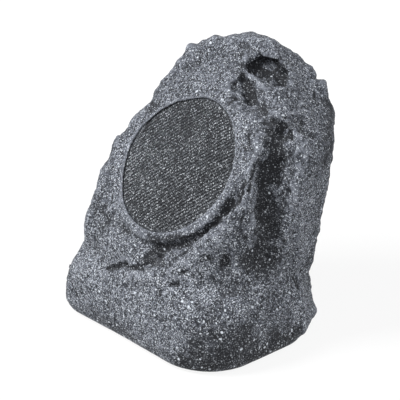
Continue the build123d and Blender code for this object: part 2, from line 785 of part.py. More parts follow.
def tweeter_faceplate():
    """Ring that clamps the edge of the dome."""
    bottom = TWEETER_TOP + DOME_THICKNESS
    inner = DOME_RADIUS + TWEETER_WALL
    top = bottom + TWEETER_FLANGE_THICKNESS
    profile = [(inner, bottom), (TWEETER_FLANGE, bottom), (TWEETER_FLANGE, top), (inner, top)]
    return DRIVER_FRAME * turned(profile, [((TWEETER_FLANGE, top), TWEETER_FLANGE_THICKNESS / 2)])


def driver_screws():
    """Screws through the basket's flange, two of them through the bridge as well."""
    screws = []
    for index, place in enumerate(driver_screw_places()):
        head = FLANGE_TOP + (BRIDGE_SHEET if bridge_side(index) else 0)
        screws.append(DRIVER_FRAME * place * Pos(0, 0, head) * screw(DRIVER_SCREW))
    return together(screws)


# Base, feet and crossover

def board_hole_places():
    """Places of the crossover board's four screws."""
    length, width, _ = BOARD_SIZE
    reach_x = length / 2 - BOARD_HOLE_INSET
    reach_y = width / 2 - BOARD_HOLE_INSET
    return [Pos(*BOARD_CENTRE, 0) * Pos(x, y, 0) for x in (-reach_x, reach_x) for y in (-reach_y, reach_y)]


def base_plate():
    """Bottom cover with its screw holes and the posts that carry the crossover board."""
    plate = base_prism(RIM_WALL + BASE_CLEARANCE, BASE_RECESS, BASE_TOP)
    posts = [place * disc(POST_RADIUS, BASE_TOP - OVERCUT, BOARD_BOTTOM) for place in board_hole_places()]
    plate = plate + posts
    pilots = [
        place * disc(BOARD_SCREW[0] + SCREW_CLEARANCE, BASE_TOP, BOARD_BOTTOM + OVERCUT)
        for place in board_hole_places()
    ]
    return plate - pilots - base_screw_holes(HOLE_CLEARANCE, BASE_RECESS - OVERCUT, BASE_TOP + OVERCUT)


def base_gasket():
    """Flat seal between the bottom cover and the shell's flange."""
    outer = base_prism(RIM_WALL + BASE_CLEARANCE, BASE_TOP, FLANGE_UNDERSIDE)
    inner_inset = RIM_WALL + FLANGE_WIDTH - GASKET_MARGIN
    inner = base_prism(inner_inset, BASE_TOP - OVERCUT, FLANGE_UNDERSIDE + OVERCUT)
    return outer - inner - base_screw_holes(HOLE_CLEARANCE, BASE_TOP - OVERCUT, FLANGE_UNDERSIDE + OVERCUT)


def base_screws():
    """Screws that hold the bottom cover, driven upwards."""
    upwards = Pos(0, 0, BASE_RECESS) * Rot(180, 0, 0)
    return together([place * upwards * screw(BASE_SCREW) for place in base_screw_places()])


def foot(side):
    """Rubber foot under the bottom cover."""
    profile = [(0, -FOOT_PROUD), (FOOT_RADIUS, -FOOT_PROUD), (FOOT_RADIUS, BASE_RECESS), (0, BASE_RECESS)]
    return beside_outline(*side, FOOT_INSET) * turned(profile, [((FOOT_RADIUS, -FOOT_PROUD), FOOT_ROUND)])


def on_board(place, height):
    """Place on top of the crossover board, at a height above it."""
    return Pos(*BOARD_CENTRE, 0) * Pos(*place, BOARD_TOP + height)


def crossover_board():
    """Printed circuit board on the base's posts."""
    length, width, thickness = BOARD_SIZE
    board = Pos(*BOARD_CENTRE, BOARD_BOTTOM + thickness / 2) * Box(length, width, thickness)
    holes = [
        place * disc(BOARD_SCREW[0] + HOLE_CLEARANCE, BOARD_BOTTOM - OVERCUT, BOARD_TOP + OVERCUT)
        for place in board_hole_places()
    ]
    return board - holes


def board_screws():
    """Screws that hold the crossover board."""
    return together([place * Pos(0, 0, BOARD_TOP) * screw(BOARD_SCREW) for place in board_hole_places()])


def crossover_inductor():
    """Air-core coil that lies on the board."""
    outer, inner, height = INDUCTOR
    return on_board(INDUCTOR_PLACE, 0) * ring(outer, inner, 0, height)


def crossover_capacitor(place):
    """Film capacitor that lies on the board."""
    radius, length = CAPACITOR
    can = turned(
        [(0, 0), (radius, 0), (radius, length), (0, length)],
        [((radius, 0), radius / 5), ((radius, length), radius / 5)],
    )
    return on_board(place, radius + PART_GAP) * Rot(0, 90, 0) * Pos(0, 0, -length / 2) * can


def crossover_resistor():
    """Ceramic power resistor on the board."""
    length, width, height = RESISTOR
    return on_board(RESISTOR_PLACE, height / 2) * Box(length, width, height)


# Gland

def gland_body():
    """Threaded tube with a hexagon that seats on the spot face."""
    inner_end = -GLAND_PAD_THICKNESS - LOCKNUT_THICKNESS - LOCKNUT_STICK_OUT
    outer_end = GLAND_HEX_THICKNESS + GLAND_TUBE
    tube = disc(GLAND_THREAD, inner_end, outer_end) + hexagon(GLAND_HEX, 0, GLAND_HEX_THICKNESS)
    return gland_frame() * (tube - disc(GLAND_BORE, inner_end - OVERCUT, outer_end + OVERCUT))


def gland_seal():
    """Rubber ring that grips the cable."""
    bottom = GLAND_HEX_THICKNESS + GLAND_TUBE
    return gland_frame() * ring(GLAND_THREAD, GLAND_SEAL_BORE, bottom, bottom + GLAND_SEAL_LENGTH)


def gland_cap():
    """Domed nut that squeezes the seal."""
    bottom = GLAND_HEX_THICKNESS + PART_GAP
    inner_top = GLAND_HEX_THICKNESS + GLAND_TUBE + GLAND_SEAL_LENGTH
    top = inner_top + GLAND_CAP_WALL
    inner = GLAND_THREAD + GLAND_CLEARANCE
    profile = [
        (inner, bottom),
        (GLAND_CAP_RADIUS, bottom),
        (GLAND_CAP_RADIUS, top),
        (GLAND_BORE, top),
        (GLAND_BORE, inner_top),
        (inner, inner_top),
    ]
    return gland_frame() * turned(profile, [((GLAND_CAP_RADIUS, top), GLAND_CAP_WALL)])


def gland_locknut():
    """Nut inside the shell."""
    top = -GLAND_PAD_THICKNESS
    bottom = top - LOCKNUT_THICKNESS
    bore = disc(GLAND_THREAD + GLAND_CLEARANCE, bottom - OVERCUT, top + OVERCUT)
    return gland_frame() * (hexagon(GLAND_HEX, bottom, top) - bore)


# The whole part

def build_nodes():
    """Every piece by its name, in the stone's own frame."""
    nodes = {
        "rock_shell": rock_shell(),
        "grille": grille(),
        "grille_cloth": grille_cloth(),
        "woofer_basket": woofer_basket(),
        "woofer_gasket": woofer_gasket(),
        "woofer_surround": woofer_surround(),
        "woofer_cone": woofer_cone(),
        "dust_cap": dust_cap(),
        "spider": spider(),
        "voice_coil_former": voice_coil_former(),
        "voice_coil": voice_coil(),
        "top_plate": top_plate(),
        "magnet": magnet(),
        "back_plate": back_plate(),
        "terminal_board": terminal_board(),
        "terminal_tags": terminal_tags(),
        "tweeter_bridge": tweeter_bridge(),
        "tweeter_housing": tweeter_housing(),
        "tweeter_magnet": tweeter_magnet(),
        "tweeter_dome": tweeter_dome(),
        "tweeter_faceplate": tweeter_faceplate(),
        "driver_screws": driver_screws(),
        "base_plate": base_plate(),
        "base_gasket": base_gasket(),
        "base_screws": base_screws(),
        "crossover_board": crossover_board(),
        "board_screws": board_screws(),
        "crossover_inductor": crossover_inductor(),
        "crossover_resistor": crossover_resistor(),
        "gland_body": gland_body(),
        "gland_seal": gland_seal(),
        "gland_cap": gland_cap(),
        "gland_locknut": gland_locknut(),
    }
    for name, place in CAPACITOR_PLACES.items():
        nodes[name] = crossover_capacitor(place)
    for name, side in FEET.items():
        nodes["foot_" + name] = foot(side)
    return nodes


def main():
    """Build the part, set it on the ground under its own middle and write one file for each piece."""
    nodes = build_nodes()
    middle = together(nodes.values()).bounding_box().center()
    to_ground = Pos(-middle.X, -middle.Y, FOOT_PROUD)
    os.makedirs("parts", exist_ok=True)
    for name, shape in nodes.items():
        export_step(to_ground * shape, f"parts/{name}.step")


if __name__ == "__main__":
    main()
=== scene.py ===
"""Rock shaped garden speaker: granite skin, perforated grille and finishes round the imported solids."""
from __future__ import annotations

import logging
import math
from dataclasses import dataclass, field
from enum import Enum
from typing import Any, Callable

import bmesh
import bpy
import numpy as np
from mathutils import Matrix, Vector, noise
from mathutils.bvhtree import BVHTree

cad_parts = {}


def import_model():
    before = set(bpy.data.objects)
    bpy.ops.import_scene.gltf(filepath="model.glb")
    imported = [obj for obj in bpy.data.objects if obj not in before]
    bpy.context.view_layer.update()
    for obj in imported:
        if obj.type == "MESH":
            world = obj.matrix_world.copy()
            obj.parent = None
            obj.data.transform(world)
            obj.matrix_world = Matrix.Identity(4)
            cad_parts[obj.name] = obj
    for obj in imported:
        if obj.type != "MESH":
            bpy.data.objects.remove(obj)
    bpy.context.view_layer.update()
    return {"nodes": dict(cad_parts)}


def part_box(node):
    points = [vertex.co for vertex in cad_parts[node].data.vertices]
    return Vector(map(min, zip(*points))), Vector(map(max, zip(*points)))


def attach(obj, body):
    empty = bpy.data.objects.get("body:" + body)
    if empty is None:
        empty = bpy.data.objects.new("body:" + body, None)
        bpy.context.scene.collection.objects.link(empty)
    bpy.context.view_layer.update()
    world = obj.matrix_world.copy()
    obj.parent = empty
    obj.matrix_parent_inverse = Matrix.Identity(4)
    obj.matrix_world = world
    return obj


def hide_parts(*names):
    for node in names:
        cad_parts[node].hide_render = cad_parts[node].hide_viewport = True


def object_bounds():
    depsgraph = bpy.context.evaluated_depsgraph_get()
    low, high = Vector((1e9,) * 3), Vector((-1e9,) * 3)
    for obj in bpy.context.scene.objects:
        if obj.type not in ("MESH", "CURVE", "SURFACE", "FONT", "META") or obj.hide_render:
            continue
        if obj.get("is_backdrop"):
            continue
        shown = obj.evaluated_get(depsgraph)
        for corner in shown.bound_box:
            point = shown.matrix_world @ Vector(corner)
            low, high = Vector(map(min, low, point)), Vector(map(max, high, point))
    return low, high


LOG = logging.getLogger("garden_speaker")
MM = 0.001
IMAGE_SIDE = 400
Colour = tuple[float, float, float, float]
Pair = tuple[float, float]


def smoothstep(low: float, high: float, value: np.ndarray) -> np.ndarray:
    """Soft step of each value, from 0 at low to 1 at high."""
    share = np.clip((value - low) / (high - low), 0.0, 1.0)
    return share * share * (3.0 - 2.0 * share)


def off_angle(angle: np.ndarray, middle: float) -> np.ndarray:
    """Degrees between each angle and the middle one."""
    return np.abs((angle - middle + 180.0) % 360.0 - 180.0)


def sampled(points: np.ndarray, at: Callable[[Vector], Any]) -> np.ndarray:
    """What a function gives at each point, which it gets in millimetres."""
    return np.array([at(Vector(point) / MM) for point in points])


def gathered(
    items: bpy.types.bpy_prop_collection, name: str, width: int = 3, kind: type = float
) -> np.ndarray:
    """One property of all the items.

    Args:
        items: Points, edges or normals of a mesh.
        name: The property.
        width: Length of the property.
        kind: Type of its numbers.

    Returns:
        An array with a row for each item.
    """
    found = np.empty(len(items) * width, dtype=kind)
    items.foreach_get(name, found)
    return found.reshape(-1, width)


def added(name: str, data: bpy.types.ID) -> bpy.types.Object:
    """Add an object to the scene.

    Args:
        name: The object's name.
        data: Its mesh, lamp or camera.

    Returns:
        The object, at the origin.
    """
    made = bpy.data.objects.new(name, data)
    bpy.context.scene.collection.objects.link(made)
    return made


def applied(source: bpy.types.Object) -> bpy.types.Mesh:
    """A plain mesh of an object with its modifiers applied."""
    graph = bpy.context.evaluated_depsgraph_get()
    return bpy.data.meshes.new_from_object(source.evaluated_get(graph))


def store_tone_marks(mesh: bpy.types.Mesh, wash: np.ndarray) -> None:
    """Store how far each point is darkened, or lightened below 0, which the granite reads."""
    layer = mesh.attributes.new("hollow", "FLOAT", "POINT")
    layer.data.foreach_set("value", wash.astype(np.float32))


def grey(level: float) -> Colour:
    """A neutral linear colour of one level."""
    return (level, level, level, 1.0)


@dataclass
class Setting:
    """Where the stone and its driver lie in the shared frame.

    Stone coordinates are in millimetres from the middle of the stone's foot. The driver's own axes lie in
    the front slope: x to the right, y up the slope and z out of the stone, with z = 0 at the collar's rim.
    """

    driver_in_stone: Vector = field(default_factory=lambda: Vector((-6.0, -13.82, 181.85)))
    slope_tilt: float = 34.0
    gasket_middle: float = -23.25
    origin: Vector = field(default_factory=Vector)
    right: Vector = field(default_factory=lambda: Vector((1.0, 0.0, 0.0)))
    up: Vector = field(default_factory=Vector)
    out: Vector = field(default_factory=Vector)

    def __post_init__(self) -> None:
        """Take the driver's place from its gasket, which is a plain ring about the driver's axis."""
        tilt = math.radians(self.slope_tilt)
        self.out = Vector((0.0, -math.cos(tilt), math.sin(tilt)))
        self.up = Vector((0.0, math.sin(tilt), math.cos(tilt)))
        low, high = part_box("woofer_gasket")
        self.origin = (low + high) / 2 - self.out * self.gasket_middle * MM

    def stone(self, x: float, y: float, z: float) -> Vector:
        """A point of the shared frame, in metres, from stone coordinates in millimetres."""
        return self.origin + (Vector((x, y, z)) - self.driver_in_stone) * MM

    def polar(self, points: np.ndarray) -> tuple[np.ndarray, np.ndarray, np.ndarray]:
        """Where points of the shared frame lie round the driver's axis.

        Args:
            points: Array of points in metres.

        Returns:
            Distance from the axis in millimetres, angle in degrees and height along the axis in millimetres.
        """
        axes = np.array([self.right, self.up, self.out])
        x, y, z = ((points - np.array(self.origin)) @ axes.T / MM).T
        return np.hypot(x, y), np.degrees(np.arctan2(y, x)), z

    def outward(self, angle: np.ndarray) -> np.ndarray:
        """Directions away from the driver's axis at angles in degrees."""
        turn = np.radians(angle)
        return np.outer(np.cos(turn), self.right) + np.outer(np.sin(turn), self.up)

    def driver_matrix(self) -> Matrix:
        """Matrix from the driver's axes, in metres, to the shared frame."""
        turn = Matrix((self.right, self.up, self.out)).transposed().to_4x4()
        return Matrix.Translation(self.origin) @ turn


@dataclass(frozen=True)
class View:
    """The photograph's view: where its camera stands and how it sees the stone."""

    azimuth: float = 46.0
    elevation: float = 20.0
    distance: float = 1.3
    aim: tuple[float, float, float] = (0.0, 0.0, 150.0)
    pixels_per_mm: float = 0.971
    aim_pixel: Pair = (190.0, 190.7)

    def axes(self) -> tuple[Vector, Vector, Vector]:
        """The camera's axes.

        Returns:
            Its directions to the right, up and backward.
        """
        turn, rise = math.radians(self.azimuth), math.radians(self.elevation)
        back = Vector((math.sin(turn) * math.cos(rise), -math.cos(turn) * math.cos(rise), math.sin(rise)))
        right = Vector((math.cos(turn), math.sin(turn), 0.0))
        return right, back.cross(right), back

    def focus(self) -> float:
        """Focal length in pixels of the photograph."""
        return self.pixels_per_mm / MM * self.distance

    def eye(self, setting: Setting) -> Vector:
        """Where the camera stands, so that the aim point falls on its pixel.

        Args:
            setting: Place of the stone.

        Returns:
            A point of the shared frame.
        """
        right, up, back = self.axes()
        half = IMAGE_SIDE / 2
        aside = right * (half - self.aim_pixel[0]) + up * (self.aim_pixel[1] - half)
        return setting.stone(*self.aim) + aside * (MM / self.pixels_per_mm) + back * self.distance

    def ray(self, x: float, y: float) -> Vector:
        """Direction from the camera through a pixel.

        Args:
            x: Column of the pixel.
            y: Row of the pixel, from the top.

        Returns:
            A unit direction.
        """
        right, up, back = self.axes()
        half = IMAGE_SIDE / 2
        return (right * (x - half) + up * (half - y) - back * self.focus()).normalized()


def operator(operation: str, swapped: bool = False) -> Callable[[Value, Any], Value]:
    """An operator on values that adds one Math node.

    Args:
        operation: Name of the Math node's operation.
        swapped: Whether the other term comes first.

    Returns:
        The method.
    """

    def apply(value: Value, other: Value | float) -> Value:
        """Add the Math node."""
        first, second = (other, value) if swapped else (value, other)
        return value.graph.add("ShaderNodeMath", {"operation": operation}, {0: first, 1: second})

    return apply


class Value:
    """A node's output that takes part in Python expressions."""

    __add__ = operator("ADD")
    __radd__ = operator("ADD", True)
    __sub__ = operator("SUBTRACT")
    __rsub__ = operator("SUBTRACT", True)
    __mul__ = operator("MULTIPLY")
    __rmul__ = operator("MULTIPLY", True)
    __truediv__ = operator("DIVIDE")
    __mod__ = operator("FLOORED_MODULO")
    __gt__ = operator("GREATER_THAN")
    larger = operator("MAXIMUM")

    def __init__(self, graph: Graph, socket: bpy.types.NodeSocket) -> None:
        """Keep the graph and the socket that gives the value."""
        self.graph = graph
        self.socket = socket

    def sibling(self, output: str | int) -> Value:
        """Another output of the same node."""
        return Value(self.graph, self.socket.node.outputs[output])

    def between(self, low: float, high: float, start: float = 0.0, end: float = 1.0) -> Value:
        """Soft step of this value between low and high, which gives start before it and end after it."""
        sockets = {"Value": self, "From Min": low, "From Max": high, "To Min": start, "To Max": end}
        return self.graph.add("ShaderNodeMapRange", {"interpolation_type": "SMOOTHSTEP"}, sockets)


class Graph:
    """A node tree that is wired by expressions."""

    MIX_FACTOR = 0
    MIX_A = 6
    MIX_B = 7
    MIX_RESULT = 2

    def __init__(self, tree: bpy.types.NodeTree) -> None:
        """Empty the tree."""
        self.tree = tree
        self.tree.nodes.clear()

    @classmethod
    def of(cls, owner: bpy.types.Material | bpy.types.World) -> Graph:
        """The emptied tree of a material or a world."""
        owner.use_nodes = True
        return cls(owner.node_tree)

    def add(
        self,
        kind: str,
        settings: dict[str, Any] | None = None,
        sockets: dict[str | int, Any] | None = None,
        output: str | int = 0,
    ) -> Value:
        """Add a node.

        Args:
            kind: The node's type.
            settings: Its settings, which are set first.
            sockets: Values or links of its input sockets.
            output: Output socket that is wanted.

        Returns:
            The wanted output.
        """
        node = self.tree.nodes.new(kind)
        for name, setting in (settings or {}).items():
            setattr(node, name, setting)
        for key, value in (sockets or {}).items():
            if isinstance(value, Value):
                self.tree.links.new(value.socket, node.inputs[key])
            else:
                node.inputs[key].default_value = value
        return Value(self, node.outputs[output])

    def place(self) -> Value:
        """The point on the piece, in metres."""
        return self.add("ShaderNodeTexCoord", output="Object")

    def warped(self, place: Value, size: float, reach: float) -> Value:
        """A place shaken by noise, so that grains get uneven outlines.

        Args:
            place: Place to shake.
            size: Size of the noise, in metres.
            reach: Most that a point moves, in metres.

        Returns:
            The moved place.
        """
        sockets = {"Vector": place, "Scale": 1 / size, "Detail": 1.0}
        colour = self.add("ShaderNodeTexNoise", None, sockets, "Color")
        middle = (-0.5, -0.5, -0.5)
        centred = self.add("ShaderNodeVectorMath", {"operation": "ADD"}, {0: colour, 1: middle})
        scaled = self.add("ShaderNodeVectorMath", {"operation": "SCALE"}, {0: centred, "Scale": 2 * reach})
        return self.add("ShaderNodeVectorMath", {"operation": "ADD"}, {0: place, 1: scaled})

    def clouds(self, place: Value, size: float, detail: float = 3.0, rough: float = 0.5) -> Value:
        """Noise from 0 to 1 with patches of a size in metres, and finer layers by number and strength."""
        sockets = {"Vector": place, "Scale": 1 / size, "Detail": detail, "Roughness": rough}
        return self.add("ShaderNodeTexNoise", None, sockets, 0)

    def grains(self, place: Value, size: float) -> tuple[Value, Value, Value, Value]:
        """Grains packed side by side.

        Args:
            place: Where the grains are read.
            size: Size of a grain, in metres.

        Returns:
            Distance from the middle of the grain, and three random numbers for each grain.
        """
        near = self.add("ShaderNodeTexVoronoi", None, {"Vector": place, "Scale": 1 / size}, "Distance")
        split = self.add("ShaderNodeSeparateColor", None, {0: near.sibling("Color")}, 0)
        return near, split, split.sibling(1), split.sibling(2)

    def mix(self, factor: Value, first: Value | Colour, second: Value | Colour) -> Value:
        """One colour over another.

        Args:
            factor: Share of the second colour.
            first: Colour at factor 0.
            second: Colour at factor 1.

        Returns:
            The mixed colour.
        """
        sockets = {self.MIX_FACTOR: factor, self.MIX_A: first, self.MIX_B: second}
        settings = {"data_type": "RGBA", "clamp_factor": True}
        return self.add("ShaderNodeMix", settings, sockets, self.MIX_RESULT)

    def bump(self, height: Value, reach: float) -> Value:
        """The normal bent by a height from 0 to 1, with the reach of the relief in metres."""
        return self.add("ShaderNodeBump", None, {"Height": height, "Distance": reach, "Strength": 1.0})

    def surface(self, sockets: dict[str, Any]) -> None:
        """End the tree in a surface with these values and links."""
        self.end(self.add("ShaderNodeBsdfPrincipled", None, sockets))

    def end(self, last: Value, kind: str = "ShaderNodeOutputMaterial") -> None:
        """Join the last node to an output node of this kind."""
        self.tree.links.new(last.socket, self.tree.nodes.new(kind).inputs[0])


@dataclass(frozen=True)
class Granite:
    """Granite of dark crystals with grey and white flecks.

    The attribute "hollow" of a mesh darkens it above 0, which on the stone is painted shade in its creases
    and along its shaded strokes, and brightens it below 0, which is a painted highlight on the stone's
    ridges. Sizes are in metres. A pair for pale or dark grains is the least random number that shows and its
    strength. A pair for flecks is their strength and what the darkening takes from it. A shake is the size
    and reach of the noise.
    """

    name: str
    dark: Colour = (0.033, 0.038, 0.049, 1.0)
    middle: Colour = (0.098, 0.107, 0.130, 1.0)
    pale: Colour = (0.236, 0.254, 0.295, 1.0)
    white: Colour = (0.66, 0.70, 0.76, 1.0)
    black: Colour = (0.007, 0.008, 0.011, 1.0)
    fine_grain: float = 0.00105
    grain: float = 0.0017
    flake: float = 0.0046
    shake: Pair = (0.0022, 0.0006)
    flake_shake: Pair = (0.004, 0.0016)
    cloud: float = 0.045
    cloud_edge: Pair = (0.35, 0.65)
    patch: float = 0.013
    patch_edge: Pair = (0.52, 0.66)
    ripple: float = 0.006
    crowd_in_clouds: tuple[float, float, float, float] = (0.3, 0.7, 0.68, 1.36)
    crowd_by_height: tuple[float, float, float, float] = (0.05, 0.26, 1.2, 0.8)
    fine_edge: Pair = (0.38, 0.55)
    fleck_edge: Pair = (0.30, 0.45)
    flake_edge: float = 0.08
    flake_least: float = 0.16
    flake_spread: float = 0.2
    fine_share: float = 0.22
    white_share: float = 0.16
    flake_share: float = 0.07
    foot_flakes: float = 0.24
    foot_height: float = 0.055
    foot_end: float = 0.121
    fine_pale: Pair = (0.55, 0.45)
    coarse_pale: Pair = (0.72, 0.55)
    coarse_dark: Pair = (0.74, 0.85)
    fine_dark: Pair = (0.7, 0.8)
    fine_fleck: Pair = (0.78, 0.56)
    coarse_fleck: Pair = (0.88, 0.36)
    flake_strength: float = 0.92
    patch_depth: float = 0.45
    hollow_depth: float = 0.99
    ridge_highlight: float = 0.5
    relief: float = 0.0005
    grain_relief: float = 0.3
    ripple_relief: float = 0.9
    roughness: float = 0.7
    ripple_roughness: float = 0.16
    fleck_polish: float = 0.22
    specular: float = 0.38

    def material(self) -> bpy.types.Material:
        """Build the material.

        Returns:
            The finished material.
        """
        material = bpy.data.materials.new(self.name)
        graph = Graph.of(material)
        place = graph.place()
        shaken = graph.warped(place, *self.shake)
        broad = graph.clouds(place, self.cloud, 4.0, 0.6)
        fine_near, fine_white, fine_grey, fine_dark = graph.grains(shaken, self.fine_grain)
        near, white, pale, dark = graph.grains(shaken, self.grain)
        flake_place = graph.warped(place, *self.flake_shake)
        flake_near, flake_pick, flake_size, _ = graph.grains(flake_place, self.flake)

        body = graph.mix(broad.between(*self.cloud_edge), self.dark, self.middle)
        patches = graph.clouds(place, self.patch, 3.0, 0.65)
        body = graph.mix(patches.between(*self.patch_edge, 0.0, self.patch_depth), body, self.black)
        crystals = (
            (fine_grey, self.fine_pale, self.pale),
            (pale, self.coarse_pale, self.pale),
            (dark, self.coarse_dark, self.black),
            (fine_dark, self.fine_dark, self.black),
        )
        for pick, (least, strength), colour in crystals:
            body = graph.mix((pick > least) * strength, body, colour)

        height = graph.add("ShaderNodeSeparateXYZ", None, {0: place}, "Z")
        crowd = broad.between(*self.crowd_in_clouds) * height.between(*self.crowd_by_height)
        fine_fleck = fine_white > 1 - crowd * self.fine_share
        fine_fleck = fine_fleck * fine_near.between(*self.fine_edge, 1.0, 0.0)
        fleck = (white > 1 - crowd * self.white_share) * near.between(*self.fleck_edge, 1.0, 0.0)
        low = height.between(self.foot_height, self.foot_end, 1.0, 0.0)
        flake_share = low * self.foot_flakes + self.flake_share
        flake_reach = self.flake_least + self.flake_spread * flake_size
        flake = (flake_pick > 1 - flake_share) * (flake_reach - flake_near).between(0.0, self.flake_edge)

        mark = graph.add("ShaderNodeAttribute", {"attribute_name": "hollow"}, None, "Fac")
        hollow = mark.between(0.0, 1.0)
        ridge = mark.between(-1.0, 0.0, 1.0, 0.0)
        # Towards black where the mark is above 0, painted shade on the stone; pale where it is below 0, a
        # painted highlight on its ridges.
        body = graph.mix(hollow * self.hollow_depth, body, self.black)
        body = graph.mix(ridge * self.ridge_highlight, body, self.pale)
        # The white flecks are mixed in after the painted shade and lose part of their strength in it.
        for grains, (strength, lost) in ((fine_fleck, self.fine_fleck), (fleck, self.coarse_fleck)):
            body = graph.mix(grains * (strength - lost * hollow), body, self.white)
        body = graph.mix(flake * self.flake_strength, body, self.white)

        ripple = graph.clouds(place, self.ripple, 4.0, 0.65)
        relief = (fine_grey + pale) * self.grain_relief + ripple * self.ripple_relief
        shine = self.fleck_polish * fleck.larger(flake)
        sockets = {
            "Base Color": body,
            "Roughness": self.roughness + self.ripple_roughness * ripple - shine,
            "Normal": graph.bump(relief, self.relief),
            "Specular IOR Level": self.specular,
        }
        graph.surface(sockets)
        return material


class Pattern(Enum):
    """How a plain finish varies over its surface."""

    MOTTLE = "mottle"
    WEAVE = "weave"
    WINDING = "winding"
    BRUSHED = "brushed"
    PORES = "pores"
    TRACES = "traces"


@dataclass(frozen=True)
class Finish:
    """A finish of one colour with a fine pattern. Sizes are in metres, and scales are shares of the size."""

    WEAR_SCALE = 6
    WEAR_LEAST = 0.6
    WEAR_SPREAD = 0.5
    TURN_EDGE = (0.1, 0.5)
    BRUSH_STRETCH = (1.0, 14.0, 1.0)
    PORE_EDGE = (0.1, 0.45)
    PORE_LEAST = 0.35
    TRACE_EDGE = (0.2, 0.25)
    TRACE_LEAST = 0.5
    BLOTCH_EDGE = (0.3, 0.7)
    GRIT_SCALE = 1 / 7
    GRIT_SHARE = 0.7
    BAND_WARP = 0.6

    name: str
    colour: Colour
    second: Colour
    pattern: Pattern = Pattern.MOTTLE
    size: float = 0.004
    relief: float = 0.00008
    roughness: float = 0.5
    roughness_spread: float = 0.15
    metallic: float = 0.0
    specular: float = 0.5

    def material(self) -> bpy.types.Material:
        """Build the material.

        Returns:
            The finished material.
        """
        material = bpy.data.materials.new(self.name)
        graph = Graph.of(material)
        place = graph.place()
        mask, height = self._pattern(graph, place)
        wear = graph.clouds(place, self.size * self.WEAR_SCALE, 4.0, 0.6)
        cover = mask * (self.WEAR_LEAST + self.WEAR_SPREAD * wear)
        sockets = {
            "Base Color": graph.mix(cover, self.colour, self.second),
            "Roughness": self.roughness + self.roughness_spread * (wear - 0.5),
            "Metallic": self.metallic,
            "Specular IOR Level": self.specular,
            "Normal": graph.bump(height, self.relief),
        }
        graph.surface(sockets)
        return material

    def _pattern(self, graph: Graph, place: Value) -> tuple[Value, Value]:
        """The pattern's colour mask and height.

        Args:
            graph: Graph that the nodes go into.
            place: Where the pattern is read.

        Returns:
            Mask of the second colour, and height of the relief.
        """
        if self.pattern is Pattern.WEAVE:
            warp = self._bands(graph, place, "X")
            weft = self._bands(graph, place, "Z")
            return warp * weft, (warp + weft) * 0.5
        if self.pattern is Pattern.WINDING:
            turns = self._bands(graph, place, "Z")
            return turns.between(*self.TURN_EDGE, 1.0, 0.0), turns
        if self.pattern is Pattern.BRUSHED:
            drawn = graph.add("ShaderNodeMapping", None, {"Vector": place, "Scale": self.BRUSH_STRETCH})
            lines = graph.clouds(drawn, self.size, 5.0, 0.7)
            return lines, lines
        if self.pattern is Pattern.PORES:
            near, pick, _, _ = graph.grains(place, self.size)
            pores = near.between(*self.PORE_EDGE, 1.0, 0.0) * (pick > self.PORE_LEAST)
            return pores, 1 - pores
        if self.pattern is Pattern.TRACES:
            near, pick, _, _ = graph.grains(place, self.size)
            lines = (pick > self.TRACE_LEAST) * near.between(*self.TRACE_EDGE)
            return lines, lines
        blotch = graph.clouds(place, self.size, 4.0, 0.6)
        grit = graph.clouds(place, self.size * self.GRIT_SCALE, 2.0, 0.5)
        height = blotch * (1 - self.GRIT_SHARE) + grit * self.GRIT_SHARE
        return blotch.between(*self.BLOTCH_EDGE), height

    def _bands(self, graph: Graph, place: Value, axis: str) -> Value:
        """Soft parallel bands, one size apart.

        Args:
            graph: Graph that the nodes go into.
            place: Where the bands are read.
            axis: Axis that the bands cross.

        Returns:
            Height of the bands from 0 to 1.
        """
        settings = {"wave_type": "BANDS", "bands_direction": axis, "wave_profile": "SIN"}
        spacing = math.pi / (10.0 * self.size)
        sockets = {"Vector": place, "Scale": spacing, "Distortion": self.BAND_WARP, "Detail": 1.0}
        return graph.add("ShaderNodeTexWave", settings, sockets, "Fac")


class Side(Enum):
    """Where a stroke lies and what its path counts."""

    PHOTO = "pixels of the photograph"
    OUTLINE = "pixels on the photograph's outline"
    BACK = "millimetres to the right and up, met from behind"
    LEFT = "millimetres to the back and up, met from the left"


@dataclass(frozen=True)
class Stroke:
    """One pass of the carver along a line; width and push in millimetres.

    Besides its push, a stroke paints shade into the colour along it, from 0 for none to 1 for full shade. A
    stroke on the outline works on all of the skin that the line of sight grazes. The photograph doesn't show
    the back and the left.
    """

    path: tuple[Pair, ...]
    width: float
    push: float
    painted_shade: float
    side: Side


def strokes(side: Side, *rows: tuple[Any, ...]) -> tuple[Stroke, ...]:
    """Strokes of one side from rows of width, push, painted shade and then the corners of the path."""
    return tuple(Stroke(row[3:], *row[:3], side) for row in rows)


OUTLINE_STROKES = strokes(
    Side.OUTLINE,
    (8.0, 4.0, 0.0, (252, 33), (268, 34)),
    (7.0, -3.0, 0.0, (225, 37), (238, 35)),
    (8.0, -2.6, 0.0, (288, 49), (304, 62)),
    (5.0, 3.6, 0.0, (310, 69), (317, 73)),
    (2.6, -3.0, 0.0, (317, 79)),
    (6.5, 9.0, 0.0, (322, 84), (330, 91)),
    (7.0, 1.4, 0.0, (332, 104), (333, 112)),
    (4.5, 3.4, 0.0, (190, 47)),
    (4.0, -2.0, 0.0, (198, 44)),
    (6.0, 2.2, 0.0, (214, 37)),
    (5.0, 1.6, 0.0, (181, 54), (176, 64)),
    (5.0, 2.0, 0.0, (163, 78), (158, 88)),
    (6.0, -1.8, 0.0, (150, 99), (143, 108)),
    (5.0, 1.8, 0.0, (136, 115), (131, 122)),
    (9.0, 5.6, 0.0, (116, 140), (108, 151), (102, 166)),
    (10.0, 5.4, 0.0, (99, 176), (94, 190), (88, 207), (84, 224), (81, 240)),
    (9.0, -6.0, 0.0, (84, 249), (78, 254), (72, 266)),
    (9.0, 2.4, 0.0, (68, 303), (75, 312)),
    (9.0, 4.0, 0.0, (140, 348), (172, 364)),
    (9.0, 4.0, 0.0, (258, 360), (282, 349)),
    (4.0, -4.0, 0.0, (297, 338)),
    (9.0, 6.4, 0.0, (304, 334), (311, 324), (313, 310)),
    (8.0, -2.2, 0.0, (311, 286), (311, 272)),
)
